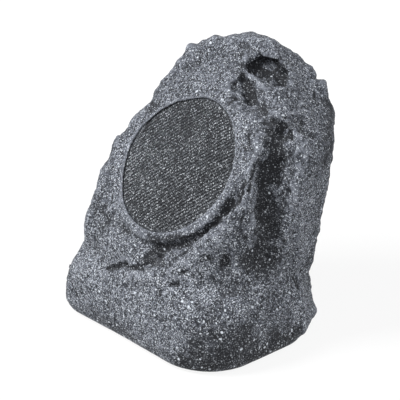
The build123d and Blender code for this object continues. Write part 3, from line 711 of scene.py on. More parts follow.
CROWN_STROKES = strokes(
    Side.PHOTO,
    (5.5, -4.6, 1.0, (251, 67), (262, 62), (272, 64)),
    (7.0, -4.4, 1.0, (259, 69), (270, 71), (281, 79)),
    (10.0, -1.0, 1.0, (262, 64), (272, 67), (281, 76)),
    (4.0, 2.2, 0.0, (246, 61), (264, 54), (282, 58), (291, 74)),
    (3.0, 2.6, 0.0, (244, 69), (254, 78), (267, 90)),
    (4.4, -4.0, 1.0, (239, 73), (244, 84), (252, 101)),
    (6.0, -2.0, 0.75, (248, 84), (256, 100), (263, 112)),
    (3.0, -3.4, 1.0, (231, 102), (236, 97)),
    (2.4, -1.6, 0.5, (235, 84), (234, 92)),
    (5.0, -2.2, 0.45, (241, 45), (246, 47)),
    (5.0, 3.4, 0.0, (272, 116), (288, 115), (306, 114)),
    (5.5, -3.4, 0.95, (268, 123), (280, 126), (286, 134)),
    (9.0, -1.8, 0.5, (286, 124), (300, 126), (310, 132)),
    (2.4, -2.6, 0.8, (315, 92), (315, 99)),
    (5.0, -1.8, 0.25, (172, 78), (186, 68), (200, 64)),
    (7.0, 1.6, 0.0, (172, 69), (165, 80)),
    (4.5, -3.0, 0.85, (150, 104), (154, 108)),
    (6.0, 1.4, 0.0, (205, 48), (222, 52)),
    (7.0, 1.4, 0.0, (222, 76), (226, 88)),
)
GRILLE_SIDE_STROKES = strokes(
    Side.PHOTO,
    (3.2, -2.4, 0.8, (119, 140), (112, 151)),
    (2.0, -2.8, 0.85, (249, 133), (249, 144)),
    (2.2, -3.6, 1.0, (255, 164), (251, 178)),
    (2.0, -3.6, 1.0, (244, 181), (239, 194), (236, 203)),
    (1.8, -2.8, 0.85, (250, 183), (249, 191)),
    (2.0, -3.4, 0.95, (233, 207), (231, 212)),
    (2.0, -3.2, 0.95, (244, 216), (241, 221)),
    (4.5, 1.6, 0.0, (246, 156), (242, 172)),
    (6.0, -1.6, 0.4, (105, 214), (118, 226), (128, 232)),
    (12.0, -0.8, 0.5, (98, 206), (103, 226), (98, 246)),
)
FRONT_STROKES = strokes(
    Side.PHOTO,
    (3.8, -4.6, 1.0, (155, 241), (177, 237), (192, 236), (203, 232), (214, 222), (224, 209), (229, 200)),
    (1.8, -5.0, 1.0, (149, 232), (149, 239)),
    (8.0, -5.0, 0.95, (142, 265), (149, 254), (160, 244)),
    (5.0, -1.8, 0.6, (166, 246), (188, 245)),
    (4.0, -1.6, 0.7, (151, 238), (160, 252), (163, 264)),
    (2.4, -4.4, 1.0, (109, 267), (117, 266), (126, 265)),
    (4.2, -3.4, 0.8, (126, 266), (140, 267), (156, 263)),
    (1.8, -2.8, 0.85, (195, 240), (189, 248), (181, 256)),
    (6.5, 3.0, 0.0, (105, 276), (130, 277), (155, 275), (172, 268)),
    (3.2, -4.6, 1.0, (170, 284), (177, 284)),
    (2.2, -3.4, 0.9, (160, 290), (159, 294)),
    (1.8, -2.6, 0.85, (181, 274), (187, 272)),
    (2.8, -4.6, 1.0, (226, 258), (225, 263)),
    (8.0, 3.0, 0.0, (200, 252), (216, 240), (232, 226)),
    (10.0, 2.2, 0.0, (185, 262), (205, 268)),
    (8.0, 0.0, 0.55, (95, 316), (120, 330), (150, 346), (178, 360)),
    (15.0, 0.0, 1.0, (186, 364), (225, 362), (262, 352), (290, 338)),
    (17.0, 0.0, 0.85, (206, 346), (246, 338)),
    (6.0, -1.0, 0.5, (198, 304), (210, 320), (214, 336)),
    (8.0, -0.6, 0.4, (236, 284), (248, 290)),
)
FLANK_STROKES = strokes(
    Side.PHOTO,
    (9.0, -3.0, 0.9, (277, 138), (275, 160), (270, 176)),
    (9.0, -3.0, 0.9, (264, 168), (263, 188), (268, 206)),
    (11.0, -4.0, 0.95, (264, 214), (267, 232), (263, 248)),
    (12.0, -4.0, 0.9, (250, 258), (262, 268), (277, 262)),
    (8.0, -0.6, 0.38, (243, 226), (246, 246), (245, 266)),
    (8.0, -0.8, 0.45, (223, 272), (226, 292), (216, 314)),
    (3.4, -3.0, 0.7, (280, 163), (279, 182)),
    (9.0, 0.0, 0.4, (286, 148), (289, 172), (283, 204), (280, 236)),
    (4.0, 1.8, 0.0, (258, 130), (256, 150), (250, 172)),
    (5.0, 2.2, 0.0, (284, 186), (292, 182)),
    (8.0, 2.6, 0.0, (302, 140), (304, 170), (300, 200)),
    (8.0, 3.0, 0.0, (298, 236), (297, 262)),
    (3.4, -3.4, 0.9, (295, 278), (299, 285)),
    (9.0, 0.0, 0.65, (327, 98), (329, 128), (326, 160)),
    (4.5, 0.0, 0.55, (322, 190), (316, 230), (311, 262)),
    (9.0, 1.0, 0.0, (306, 300), (308, 318)),
    (12.0, 2.0, 0.0, (240, 300), (262, 296)),
    (7.0, 1.4, 0.0, (270, 284), (290, 288)),
)
BACK_STROKES = strokes(
    Side.BACK,
    (22.0, -3.0, 0.3, (-60, 245), (-22, 205), (32, 178)),
    (20.0, 2.4, 0.0, (-80, 192), (-22, 152), (42, 134)),
    (17.0, -2.8, 0.35, (-86, 124), (-40, 98), (8, 92)),
    (22.0, 2.4, 0.0, (48, 240), (74, 192), (82, 142)),
    (4.0, -2.4, 0.75, (2, 272), (12, 238), (5, 208)),
    (4.5, -2.6, 0.75, (38, 122), (62, 116), (84, 96)),
    (3.5, -2.2, 0.7, (-34, 172), (-18, 163)),
    (13.0, -2.4, 0.35, (58, 62), (92, 52)),
    (11.0, -2.2, 0.35, (-70, 52), (-92, 70)),
)
LEFT_STROKES = strokes(
    Side.LEFT,
    (15.0, -3.0, 0.4, (-8, 62), (12, 106), (30, 150)),
    (13.0, 2.6, 0.0, (-40, 72), (-10, 130), (22, 190)),
    (12.0, -2.8, 0.45, (44, 212), (54, 162), (50, 112)),
    (3.6, -2.6, 0.85, (-52, 58), (-22, 71), (5, 69)),
    (3.6, -2.4, 0.8, (20, 204), (31, 180), (29, 152)),
    (10.0, -2.2, 0.4, (-62, 38), (-36, 44)),
    (12.0, 2.2, 0.0, (62, 60), (64, 122)),
)


@dataclass
class StoneSkin:
    """The moulded stone: a fine skin over the rock shell's solid, carved and weathered.

    Sizes are in millimetres and angles in degrees; the mesh itself is in metres. Lumps, knobs, chips and grit
    have a size and a height. Each lip of the rim has its angle round the driver, its spread and its reach.
    """

    WAY_RISES = (0.0, 0.7, 1.8)
    WAYS_ROUND = 8
    LEAST_FACING = 0.1
    LEAST_FREE = 0.01
    LUMP_LAYERS = (1.0, 2.0, 2)
    KNOB_LAYERS = (0.9, 2.1, 3)
    CHIP_EDGE = 0.3
    CHIP_LEVEL = 0.75
    WOBBLE_SHIFT = 50.0
    BEND_SHIFT = 70.0
    WEATHER_SHIFT = 100.0

    setting: Setting
    view: View
    voxel: float = 1.8
    inside_share: float = 0.1
    first_rounds: int = 2
    settle_rounds: int = 6
    soften_rounds: int = 60
    last_rounds: int = 3
    pocket_gap: float = 0.3
    collar_width: float = 10.9
    collar_hold: Pair = (-1.0, 5.0)
    collar_hold_depth: float = 60.0
    collar_blend: Pair = (-2.0, 27.0)
    collar_blend_depth: float = 40.0
    collar_inner: float = 4.5
    collar_rise: float = 3.6
    lip_angle: float = -68.0
    lip_spread: Pair = (48.0, 85.0)
    soft_band: tuple[float, float, float, float] = (45.0, 66.0, 100.0, 125.0)
    soft_least: float = 0.08
    pocket_reach: float = 1.6
    pocket_depth: float = 9.6
    pocket_top: float = 1.5
    foot_clear: float = 1.0
    foot_blend: float = 20.0
    foot_rounds: int = 14
    rim_reach: float = 7.0
    rim_foot: Pair = (-2.3, -0.7)
    rim_top: float = 8.0
    rim_lips: tuple[tuple[float, float, float], ...] = (
        (108.0, 13.0, 4.2),
        (132.0, 14.0, 3.8),
        (150.0, 8.0, 2.6),
        (188.0, 18.0, 2.8),
        (212.0, 18.0, 3.0),
        (28.0, 22.0, 1.4),
    )
    toe_height: float = 28.0
    toe_depth: float = 6.0
    spread_rounds: int = 8
    gland_clear: Pair = (15.0, 24.0)
    gland_side: float = 50.0
    plug_depth: float = 27.0
    plug_radius: float = 66.0
    plug_sides: int = 24
    lift: float = 0.9
    seed: Vector = field(default_factory=lambda: Vector((3.7, 11.2, 5.9)))
    noise_seed: int = 11
    snap_rounds: int = 12
    far: float = 1000.0
    stroke_power: float = 3.0
    stroke_wobble: float = 0.45
    wobble_size: float = 6.0
    wobble_broad: float = 2.6
    bend: float = 5.0
    bend_size: float = 9.0
    bend_width: float = 6.0
    bend_fine: float = 0.4
    bend_fine_share: float = 0.45
    streak_width: float = 5.0
    streak_length: float = 20.0
    streak_spot: float = 0.7
    streak_mix: tuple[float, float, float] = (1.04, 0.6, 0.3)
    streak_least: float = 0.6
    shade_spread: float = 0.8
    box_margin: float = 2.0
    grazing: Pair = (0.35, 0.85)
    lumps: Pair = (38.0, 1.7)
    knobs: Pair = (13.0, 1.2)
    chips: Pair = (21.0, 1.0)
    grit: Pair = (3.6, 0.35)
    hollow_rounds: int = 24
    crease_depth: Pair = (0.15, 1.8)
    ridge_height: Pair = (0.25, 1.7)
    strokes: tuple[Stroke, ...] = (
        OUTLINE_STROKES + CROWN_STROKES + GRILLE_SIDE_STROKES + FRONT_STROKES
        + FLANK_STROKES + BACK_STROKES + LEFT_STROKES
    )
    mesh: bpy.types.Mesh = field(init=False)
    points: np.ndarray = field(init=False)
    edges: np.ndarray = field(init=False)
    outer: np.ndarray = field(init=False)

    def __post_init__(self) -> None:
        """Take the grille's radius from its solid."""
        low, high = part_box("grille")
        self.pocket_wall = (high.x - low.x) / 2 / MM + self.pocket_gap
        self.collar_edge = self.pocket_wall - self.pocket_gap + self.collar_width

    def build(self, source: bpy.types.Object) -> bpy.types.Object:
        """Make the skin.

        Args:
            source: The rock shell's solid.

        Returns:
            The skin as an object at the origin.
        """
        noise.seed_set(self.noise_seed)
        self.mesh, self.outer = self._even_mesh(source)
        self.points = gathered(self.mesh.vertices, "co")
        self.edges = gathered(self.mesh.edges, "vertices", 2, np.int64)

        self._relax(self.points, self.outer, self.first_rounds)
        low = 1.0 - smoothstep(self.foot_blend / 2, self.foot_blend, self.points[:, 2] / MM)
        self._relax(self.points, self.outer * low, self.foot_rounds, 2)
        free = self.outer * self._free()
        self._relax(self.points, free, self.settle_rounds)
        self._relax(self.points, free * self._soft(), self.soften_rounds)
        self._blend_collar()
        self._relax(self.points, free, self.last_rounds)
        self._open_pocket()
        self._break_rim()
        self._round_toe()

        self._put()
        painted_shade = self._carve()
        self._put()
        self._weather(free)
        self._keep_inside()
        self._put()
        self._mark_hollows(painted_shade)
        self.mesh.shade_smooth()
        return added("stone_skin", self.mesh)

    def _even_mesh(self, source: bpy.types.Object) -> tuple[bpy.types.Mesh, np.ndarray]:
        """A copy of the solid's mesh in even quads, with few faces on the inside.

        Args:
            source: The rock shell's solid.

        Returns:
            The new mesh, and 1 for each point on the outside or 0.
        """
        copy = added("stone_copy", source.data.copy())
        shape = bmesh.new()
        shape.from_mesh(copy.data)
        bmesh.ops.remove_doubles(shape, verts=shape.verts, dist=1e-6)
        shape.to_mesh(copy.data)
        shape.free()
        remesh = copy.modifiers.new("even_quads", "REMESH")
        remesh.mode = "VOXEL"
        remesh.voxel_size = self.voxel * MM
        even = applied(copy)
        copy.modifiers.remove(remesh)
        copy.data = even
        outer = self._outer(source, even)
        inside = copy.vertex_groups.new(name="inside")
        inside.add([int(index) for index in np.flatnonzero(outer < 0.5)], 1.0, "REPLACE")
        thin = copy.modifiers.new("thin_inside", "DECIMATE")
        share = float(outer.mean())
        thin.ratio = share + (1.0 - share) * self.inside_share
        thin.vertex_group = inside.name
        mesh = applied(copy)
        mesh.name = "stone_skin"
        mesh.materials.clear()
        weights = np.array([0.0 if point.groups else 1.0 for point in mesh.vertices])
        bpy.data.objects.remove(copy)
        return mesh, weights

    def _put(self) -> None:
        """Write the points back to the mesh."""
        self.mesh.vertices.foreach_set("co", self.points.ravel())
        self.mesh.update()

    def _normals(self) -> np.ndarray:
        """The normal at each point of the mesh."""
        return gathered(self.mesh.vertex_normals, "vector")

    def _outer(self, source: bpy.types.Object, even: bpy.types.Mesh) -> np.ndarray:
        """Which points of the even mesh lie on the outside of the stone.

        Args:
            source: The rock shell's solid.
            even: Its mesh in even quads.

        Returns:
            1 for an outside point and 0 for an inside one.
        """
        corners = [vertex.co.copy() for vertex in source.data.vertices]
        faces = [tuple(face.vertices) for face in source.data.polygons]
        start = len(corners)
        place = self.setting.driver_matrix()
        for index in range(self.plug_sides):
            turn = math.tau * index / self.plug_sides
            ring = Vector((math.cos(turn), math.sin(turn), 0.0)) * self.plug_radius * MM
            corners.append(place @ (ring - Vector((0.0, 0.0, self.plug_depth * MM))))
        faces.append(tuple(range(start, start + self.plug_sides)))
        tree = BVHTree.FromPolygons(corners, faces)
        ways = [Vector((0.0, 0.0, 1.0))]
        for rise in self.WAY_RISES:
            for index in range(self.WAYS_ROUND):
                turn = math.tau * (index + rise) / self.WAYS_ROUND
                ways.append(Vector((math.cos(turn), math.sin(turn), rise)).normalized())
        found = np.zeros(len(even.vertices))
        normals = gathered(even.vertex_normals, "vector")
        for index, (point, normal) in enumerate(zip(gathered(even.vertices, "co"), normals)):
            facing = Vector(normal)
            lifted = Vector(point) + facing * (self.lift * MM)
            for way in ways:
                if way.dot(facing) > self.LEAST_FACING and tree.ray_cast(lifted, way)[0] is None:
                    found[index] = 1.0
                    break
        return found

    def _free(self) -> np.ndarray:
        """How freely a point may be moved: not at the collar, the foot or the cable gland.

        Returns:
            Numbers from 0 to 1.
        """
        reach, _, height = self.setting.polar(self.points)
        start, end = self.collar_hold
        collar = smoothstep(self.collar_edge + start, self.collar_edge + end, reach)
        collar = np.where(height < -self.collar_hold_depth, 1.0, collar)
        foot = smoothstep(self.foot_clear, self.foot_blend, self.points[:, 2] / MM)
        low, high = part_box("gland_body")
        middle = (np.array(low) + np.array(high)) / 2
        away = np.hypot(self.points[:, 0] - middle[0], self.points[:, 2] - middle[2]) / MM
        gland = smoothstep(*self.gland_clear, away)
        return collar * foot * np.where(self.points[:, 1] > self.gland_side * MM, gland, 1.0)

    def _soft(self) -> np.ndarray:
        """Where the step between boulder and apron is filled in most.

        Returns:
            Numbers from 0 to 1.
        """
        height = (self.points[:, 2] - self.setting.stone(0.0, 0.0, 0.0).z) / MM
        band = smoothstep(*self.soft_band[:2], height) * (1.0 - smoothstep(*self.soft_band[2:], height))
        return self.soft_least + (1.0 - self.soft_least) * band

    def _relax(self, rows: np.ndarray, weight: np.ndarray | float, rounds: int, columns: int = 3) -> None:
        """Draw each row towards the middle of its neighbours.

        Args:
            rows: A row for each point of the skin, changed in place.
            weight: How far each row may follow, from 0 to 1.
            rounds: Number of repeats.
            columns: Number of columns that change; with 2, points stay at their height.
        """
        first, second = self.edges[:, 0], self.edges[:, 1]
        total = len(rows)
        count = np.bincount(self.edges.ravel(), minlength=total).clip(1)
        for _ in range(rounds):
            for index in range(columns):
                column = rows[:, index]
                near = np.bincount(first, weights=column[second], minlength=total)
                near += np.bincount(second, weights=column[first], minlength=total)
                rows[:, index] = column + 0.5 * weight * (near / count - column)

    def _blend_collar(self) -> None:
        """Raise the slope to the collar's rim, except under the lip that shows at its lower right."""
        reach, angle, height = self.setting.polar(self.points)
        start, end = self.collar_blend
        near = 1.0 - smoothstep(self.collar_edge + start, self.collar_edge + end, reach)
        share = near * smoothstep(*self.lip_spread, off_angle(angle, self.lip_angle))
        share *= self.outer * (height > -self.collar_blend_depth)
        share *= reach > self.collar_edge - self.collar_inner
        room = np.clip(-height, 0.0, self.collar_rise)
        self.points += np.outer(share * room * MM, self.setting.out)

    def _open_pocket(self) -> None:
        """Keep the grille's pocket clear of the grille's edge."""
        reach, angle, height = self.setting.polar(self.points)
        short = self.pocket_wall - reach
        wall = (short > 0.0) & (short < self.pocket_reach)
        wall &= (height > -self.pocket_depth) & (height < self.pocket_top)
        self.points[wall] += self.setting.outward(angle[wall]) * (short[wall] * MM)[:, None]

    def _break_rim(self) -> None:
        """Let the stone's uneven lips reach in over the grille's edge."""
        reach, angle, height = self.setting.polar(self.points)
        inward = np.zeros(len(self.points))
        for middle, spread, lip in self.rim_lips:
            inward += lip * np.exp(-((off_angle(angle, middle) / spread) ** 2))
        inward *= smoothstep(*self.rim_foot, height) * (height < self.rim_top) * self.outer
        inward *= np.exp(-((np.clip(reach - self.pocket_wall, 0.0, None) / self.rim_reach) ** 2))
        self.points -= self.setting.outward(angle) * (inward * MM)[:, None]

    def _round_toe(self) -> None:
        """Draw the foot of the apron in, so that it curves under towards the ground."""
        soft = self.outer[:, None].copy()
        self._relax(soft, 1.0, self.spread_rounds, 1)
        share = np.clip(2.0 * soft[:, 0], 0.0, 1.0)
        low = np.clip(1.0 - self.points[:, 2] / MM / self.toe_height, 0.0, 1.0)
        away = self.points[:, :2]
        flat = away / np.linalg.norm(away, axis=1)[:, None].clip(1e-9)
        self.points[:, :2] -= flat * (share * self.toe_depth * MM * low * low)[:, None]

    def _carve(self) -> np.ndarray:
        """Push the skin in or out along each stroke; the inside of the wall follows.

        Returns:
            The shade painted at each point, from 0 to 1.
        """
        normals = self._normals()
        corners = [tuple(point) for point in self.points]
        tree = BVHTree.FromPolygons(corners, [tuple(face.vertices) for face in self.mesh.polygons])
        push = np.zeros(len(self.points))
        undarkened = np.ones(len(self.points))
        flat, scale, grazed = self._seen_flat(normals)
        wobble = sampled(self.points, self._wobble)
        bend = sampled(self.points, self._bend)
        streaks = sampled(self.points, self._streak)
        for stroke in self.strokes:
            if stroke.side is Side.OUTLINE:
                away = self._from_line(flat, np.array(stroke.path)) * scale
                reach = np.exp(-((away / (stroke.width * MM)) ** 2)) * grazed
            else:
                line = np.array([self._met(tree, spot, stroke.side) for spot in stroke.path])
                ragged = self.points + bend * min(1.0, stroke.width / self.bend_width)
                away = self._from_line(ragged, line) * wobble
                reach = np.exp(-((away / (stroke.width * MM)) ** self.stroke_power))
            push += stroke.push * reach
            # Painted shade along each stroke, broken into streaks that run down the stone.
            undarkened *= 1.0 - stroke.painted_shade * reach**self.shade_spread * streaks
        way = np.where(self.outer > 0.5, 1.0, -1.0) * self._free()
        self.points += normals * (push * way * MM)[:, None]
        return 1.0 - undarkened

    def _seen_flat(self, normals: np.ndarray) -> tuple[np.ndarray, np.ndarray, np.ndarray]:
        """The points as the photograph sees them.

        Args:
            normals: The normal at each point.

        Returns:
            Their pixels, the metres that a pixel spans there, and 1 where the line of sight grazes the skin.
        """
        right, up, back = (np.array(axis) for axis in self.view.axes())
        offset = self.points - np.array(self.view.eye(self.setting))
        scale = -(offset @ back) / self.view.focus()
        half = IMAGE_SIDE / 2
        flat = np.stack((half + offset @ right / scale, half - offset @ up / scale), axis=1)
        sight = offset / np.linalg.norm(offset, axis=1)[:, None]
        facing = np.abs(np.einsum("ij,ij->i", sight, normals))
        return flat, scale, 1.0 - smoothstep(*self.grazing, facing)

    @staticmethod
    def _from_line(points: np.ndarray, line: np.ndarray) -> np.ndarray:
        """Distance of each point from a line of straight runs.

        Args:
            points: Points in two or three dimensions.
            line: Corners of the line, or its only point.

        Returns:
            The distances.
        """
        away = np.full(len(points), np.inf)
        for start, end in zip(line, line[1:] if len(line) > 1 else line):
            run = end - start
            share = np.clip((points - start) @ run / max(float(run @ run), 1e-12), 0.0, 1.0)
            gap = points - start - share[:, None] * run
            away = np.minimum(away, np.linalg.norm(gap, axis=1))
        return away

    def _wobble(self, point: Vector) -> float:
        """A number round 1, for a point in millimetres, that breaks the even edge of a stroke."""
        spot = (point + self.seed * self.WOBBLE_SHIFT) / self.wobble_size
        return 1.0 + self.stroke_wobble * (noise.noise(spot) + noise.noise(spot / self.wobble_broad))

    def _bend(self, point: Vector) -> Vector:
        """A shift, in metres, that makes the edges of the strokes ragged.

        Args:
            point: A point of the skin in millimetres.

        Returns:
            The shift.
        """
        spot = (point + self.seed * self.BEND_SHIFT) / self.bend_size
        fine = noise.noise_vector(spot / self.bend_fine)
        return (noise.noise_vector(spot) + self.bend_fine_share * fine) * (self.bend * MM)

    def _streak(self, point: Vector) -> float:
        """How much of the painted shade a point takes, in streaks that run down the stone.

        Args:
            point: A point of the skin in millimetres.

        Returns:
            A number up to 1.
        """
        wide, long = self.streak_width, self.streak_length
        run = noise.noise(Vector((point.x / wide, point.y / wide, point.z / long)) + self.seed)
        spots = noise.noise(point / (self.streak_spot * wide) - self.seed)
        level, run_share, spot_share = self.streak_mix
        return min(max(level + run_share * run + spot_share * spots, self.streak_least), 1.0)

    def _met(self, tree: BVHTree, spot: Pair, side: Side) -> Vector:
        """Where the ray through a spot meets the skin, or the point of the outline that is nearest to it.

        Args:
            tree: Faces of the skin.
            spot: A corner of a stroke's path.
            side: Where the stroke lies.

        Returns:
            A point on the skin.
        """
        eye, ray = self.view.eye(self.setting), self.view.ray(*spot)
        if side is Side.BACK:
            eye, ray = self.setting.stone(spot[0], self.far, spot[1]), Vector((0.0, -1.0, 0.0))
        elif side is Side.LEFT:
            eye, ray = self.setting.stone(-self.far, *spot), Vector((1.0, 0.0, 0.0))
        hit = tree.ray_cast(eye, ray)[0]
        if hit is None:
            hit = eye + ray * self.view.distance
            for _ in range(self.snap_rounds):
                hit = tree.find_nearest(eye + ray * (hit - eye).dot(ray))[0]
        return hit

    def _keep_inside(self) -> None:
        """Ease back what stands out of the solids' box at its sides and top."""
        low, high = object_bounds()
        margin = self.box_margin * MM
        for axis, side in ((0, -1.0), (0, 1.0), (1, -1.0), (1, 1.0), (2, 1.0)):
            limit = (high if side > 0.0 else low)[axis]
            column = self.points[:, axis]
            over = (column - limit) * side + margin
            eased = margin * (1.0 - np.exp(-np.clip(over, 0.0, None) / margin))
            self.points[:, axis] = np.where(over > 0.0, limit + side * (eased - margin), column)

    def _weather(self, free: np.ndarray) -> None:
        """Add lumps, knobs, chips and grit.

        Args:
            free: How freely each point may be moved.
        """
        push = np.zeros(len(self.points))
        moving = free > self.LEAST_FREE
        push[moving] = sampled(self.points[moving], self._worn)
        self.points += self._normals() * (push * free * MM)[:, None]

    def _worn(self, point: Vector) -> float:
        """How far the weather moves a point.

        Args:
            point: A point of the skin in millimetres.

        Returns:
            Millimetres outward.
        """
        spot = point + self.seed * self.WEATHER_SHIFT
        nearest = noise.voronoi(spot / self.chips[0])[0]
        edge = min((nearest[1] - nearest[0]) / self.CHIP_EDGE, 1.0)
        return (
            self.lumps[1] * noise.fractal(spot / self.lumps[0], *self.LUMP_LAYERS)
            + self.knobs[1] * noise.fractal(spot / self.knobs[0], *self.KNOB_LAYERS)
            + self.chips[1] * (edge - self.CHIP_LEVEL)
            + self.grit[1] * noise.noise(spot / self.grit[0])
        )

    def _mark_hollows(self, painted_shade: np.ndarray) -> None:
        """Store the shade painted at each point, above 0 in creases and along the strokes, and the painted
        highlight on ridges, below 0.

        Args:
            painted_shade: Shade painted along the strokes.
        """
        smooth = self.points.copy()
        self._relax(smooth, 1.0, self.hollow_rounds)
        depth = np.einsum("ij,ij->i", smooth - self.points, self._normals()) / MM
        # Painted shade in creases and along the shaded strokes, and a painted highlight on ridges.
        hollow = 1.0 - (1.0 - smoothstep(*self.crease_depth, depth)) * (1.0 - painted_shade)
        ridge = smoothstep(*self.ridge_height, -depth) * (1.0 - painted_shade)
        store_tone_marks(self.mesh, self.outer * (hollow - ridge))


class SheetTree:
    """Geometry Nodes tree that punches a round sheet with staggered rows of holes and domes it."""

    INPUTS = {
        "Geometry": "Geometry",
        "Radius": "Float",
        "Punched Radius": "Float",
        "Row Pitch": "Float",
        "Hole Pitch": "Float",
        "Hole Radius": "Float",
        "Row Angle": "Float",
        "Rows": "Int",
        "Columns": "Int",
        "Sheet": "Float",
        "Rise": "Float",
        "Edge Height": "Float",
        "Paint": "Material",
    }
    HOLE_SIDES = 8
    RIM_SIDES = 160
    WELD = 1e-6

    def __init__(self) -> None:
        """Build the tree."""
        self.tree = bpy.data.node_groups.new("PunchedSheet", "GeometryNodeTree")
        self.graph = Graph(self.tree)
        self.sockets: dict[str, str] = {}
        interface = self.tree.interface
        for name, kind in self.INPUTS.items():
            socket = interface.new_socket(name=name, in_out="INPUT", socket_type=f"NodeSocket{kind}")
            self.sockets[name] = socket.identifier
        interface.new_socket(name="Geometry", in_out="OUTPUT", socket_type="NodeSocketGeometry")
        given = self.tree.nodes.new("NodeGroupInput")
        self.given = {name: Value(self.graph, given.outputs[name]) for name in self.INPUTS}
        self._wire()

    def _join(self, *parts: Value) -> Value:
        """Several geometries as one.

        Args:
            *parts: The geometries in their order.

        Returns:
            The joined geometry.
        """
        node = self.tree.nodes.new("GeometryNodeJoinGeometry")
        for part in parts:
            self.tree.links.new(part.socket, node.inputs[0])
        return Value(self.graph, node.outputs[0])

    def _circle(self, sides: int, radius: str) -> Value:
        """A round line with a number of sides and a given radius."""
        sockets = {"Resolution": sides, "Radius": self.given[radius]}
        return self.graph.add("GeometryNodeCurvePrimitiveCircle", None, sockets, "Curve")

    def _radius_of_point(self) -> Value:
        """Distance of a point from the sheet's axis.

        Returns:
            The distance in metres.
        """
        add = self.graph.add
        flat = {0: add("GeometryNodeInputPosition"), 1: (1.0, 1.0, 0.0)}
        across = add("ShaderNodeVectorMath", {"operation": "MULTIPLY"}, flat)
        return add("ShaderNodeVectorMath", {"operation": "LENGTH"}, {0: across}, "Value")

    def _hole_places(self) -> Value:
        """Points in staggered rows inside the punched radius.

        Returns:
            The points.
        """
        add, given = self.graph.add, self.given
        counts = {
            "Size X": (given["Columns"] - 1.0) * given["Hole Pitch"],
            "Size Y": (given["Rows"] - 1.0) * given["Row Pitch"],
            "Vertices X": given["Columns"],
            "Vertices Y": given["Rows"],
        }
        grid = add("GeometryNodeMeshGrid", None, counts, "Mesh")
        row = add("ShaderNodeSeparateXYZ", None, {0: add("GeometryNodeInputPosition")}, "Y")
        number = add("ShaderNodeMath", {"operation": "ROUND"}, {0: row / given["Row Pitch"]})
        aside = (number % 2.0) * (given["Hole Pitch"] * 0.5)
        offset = add("ShaderNodeCombineXYZ", None, {"X": aside})
        rows = add("GeometryNodeSetPosition", None, {"Geometry": grid, "Offset": offset})
        turn = add("ShaderNodeCombineXYZ", None, {"Z": given["Row Angle"]})
        turned = add("GeometryNodeTransform", None, {"Geometry": rows, "Rotation": turn})
        outside = self._radius_of_point() > given["Punched Radius"]
        cut = {"Geometry": turned, "Selection": outside}
        return add("GeometryNodeDeleteGeometry", {"domain": "POINT"}, cut)

    def _wire(self) -> None:
        """Join the nodes from the hole places to the finished sheet."""
        add, given = self.graph.add, self.given
        placed = {"Points": self._hole_places(), "Instance": self._circle(self.HOLE_SIDES, "Hole Radius")}
        holes = add("GeometryNodeInstanceOnPoints", None, placed)
        loops = add("GeometryNodeRealizeInstances", None, {"Geometry": holes})
        lines = self._join(self._circle(self.RIM_SIDES, "Radius"), loops)
        flat = add("GeometryNodeFillCurve", {"mode": "TRIANGLES"}, {"Curve": lines})
        thick = {"Mesh": flat, "Offset Scale": given["Sheet"], "Individual": False}
        front = add("GeometryNodeExtrudeMesh", {"mode": "FACES"}, thick, "Mesh")
        back = add("GeometryNodeFlipFaces", None, {"Mesh": flat})
        closed = {"Geometry": self._join(front, back), "Distance": self.WELD}
        sheet = add("GeometryNodeMergeByDistance", None, closed)
        share = self._radius_of_point() / given["Radius"]
        lift = (1.0 - share * share) * given["Rise"] + given["Edge Height"] - given["Sheet"]
        offset = add("ShaderNodeCombineXYZ", None, {"Z": lift})
        domed = add("GeometryNodeSetPosition", None, {"Geometry": sheet, "Offset": offset})
        real = add("GeometryNodeRealizeInstances", None, {"Geometry": domed})
        painted = add("GeometryNodeSetMaterial", None, {"Geometry": real, "Material": given["Paint"]})
        self.graph.end(painted, "NodeGroupOutput")


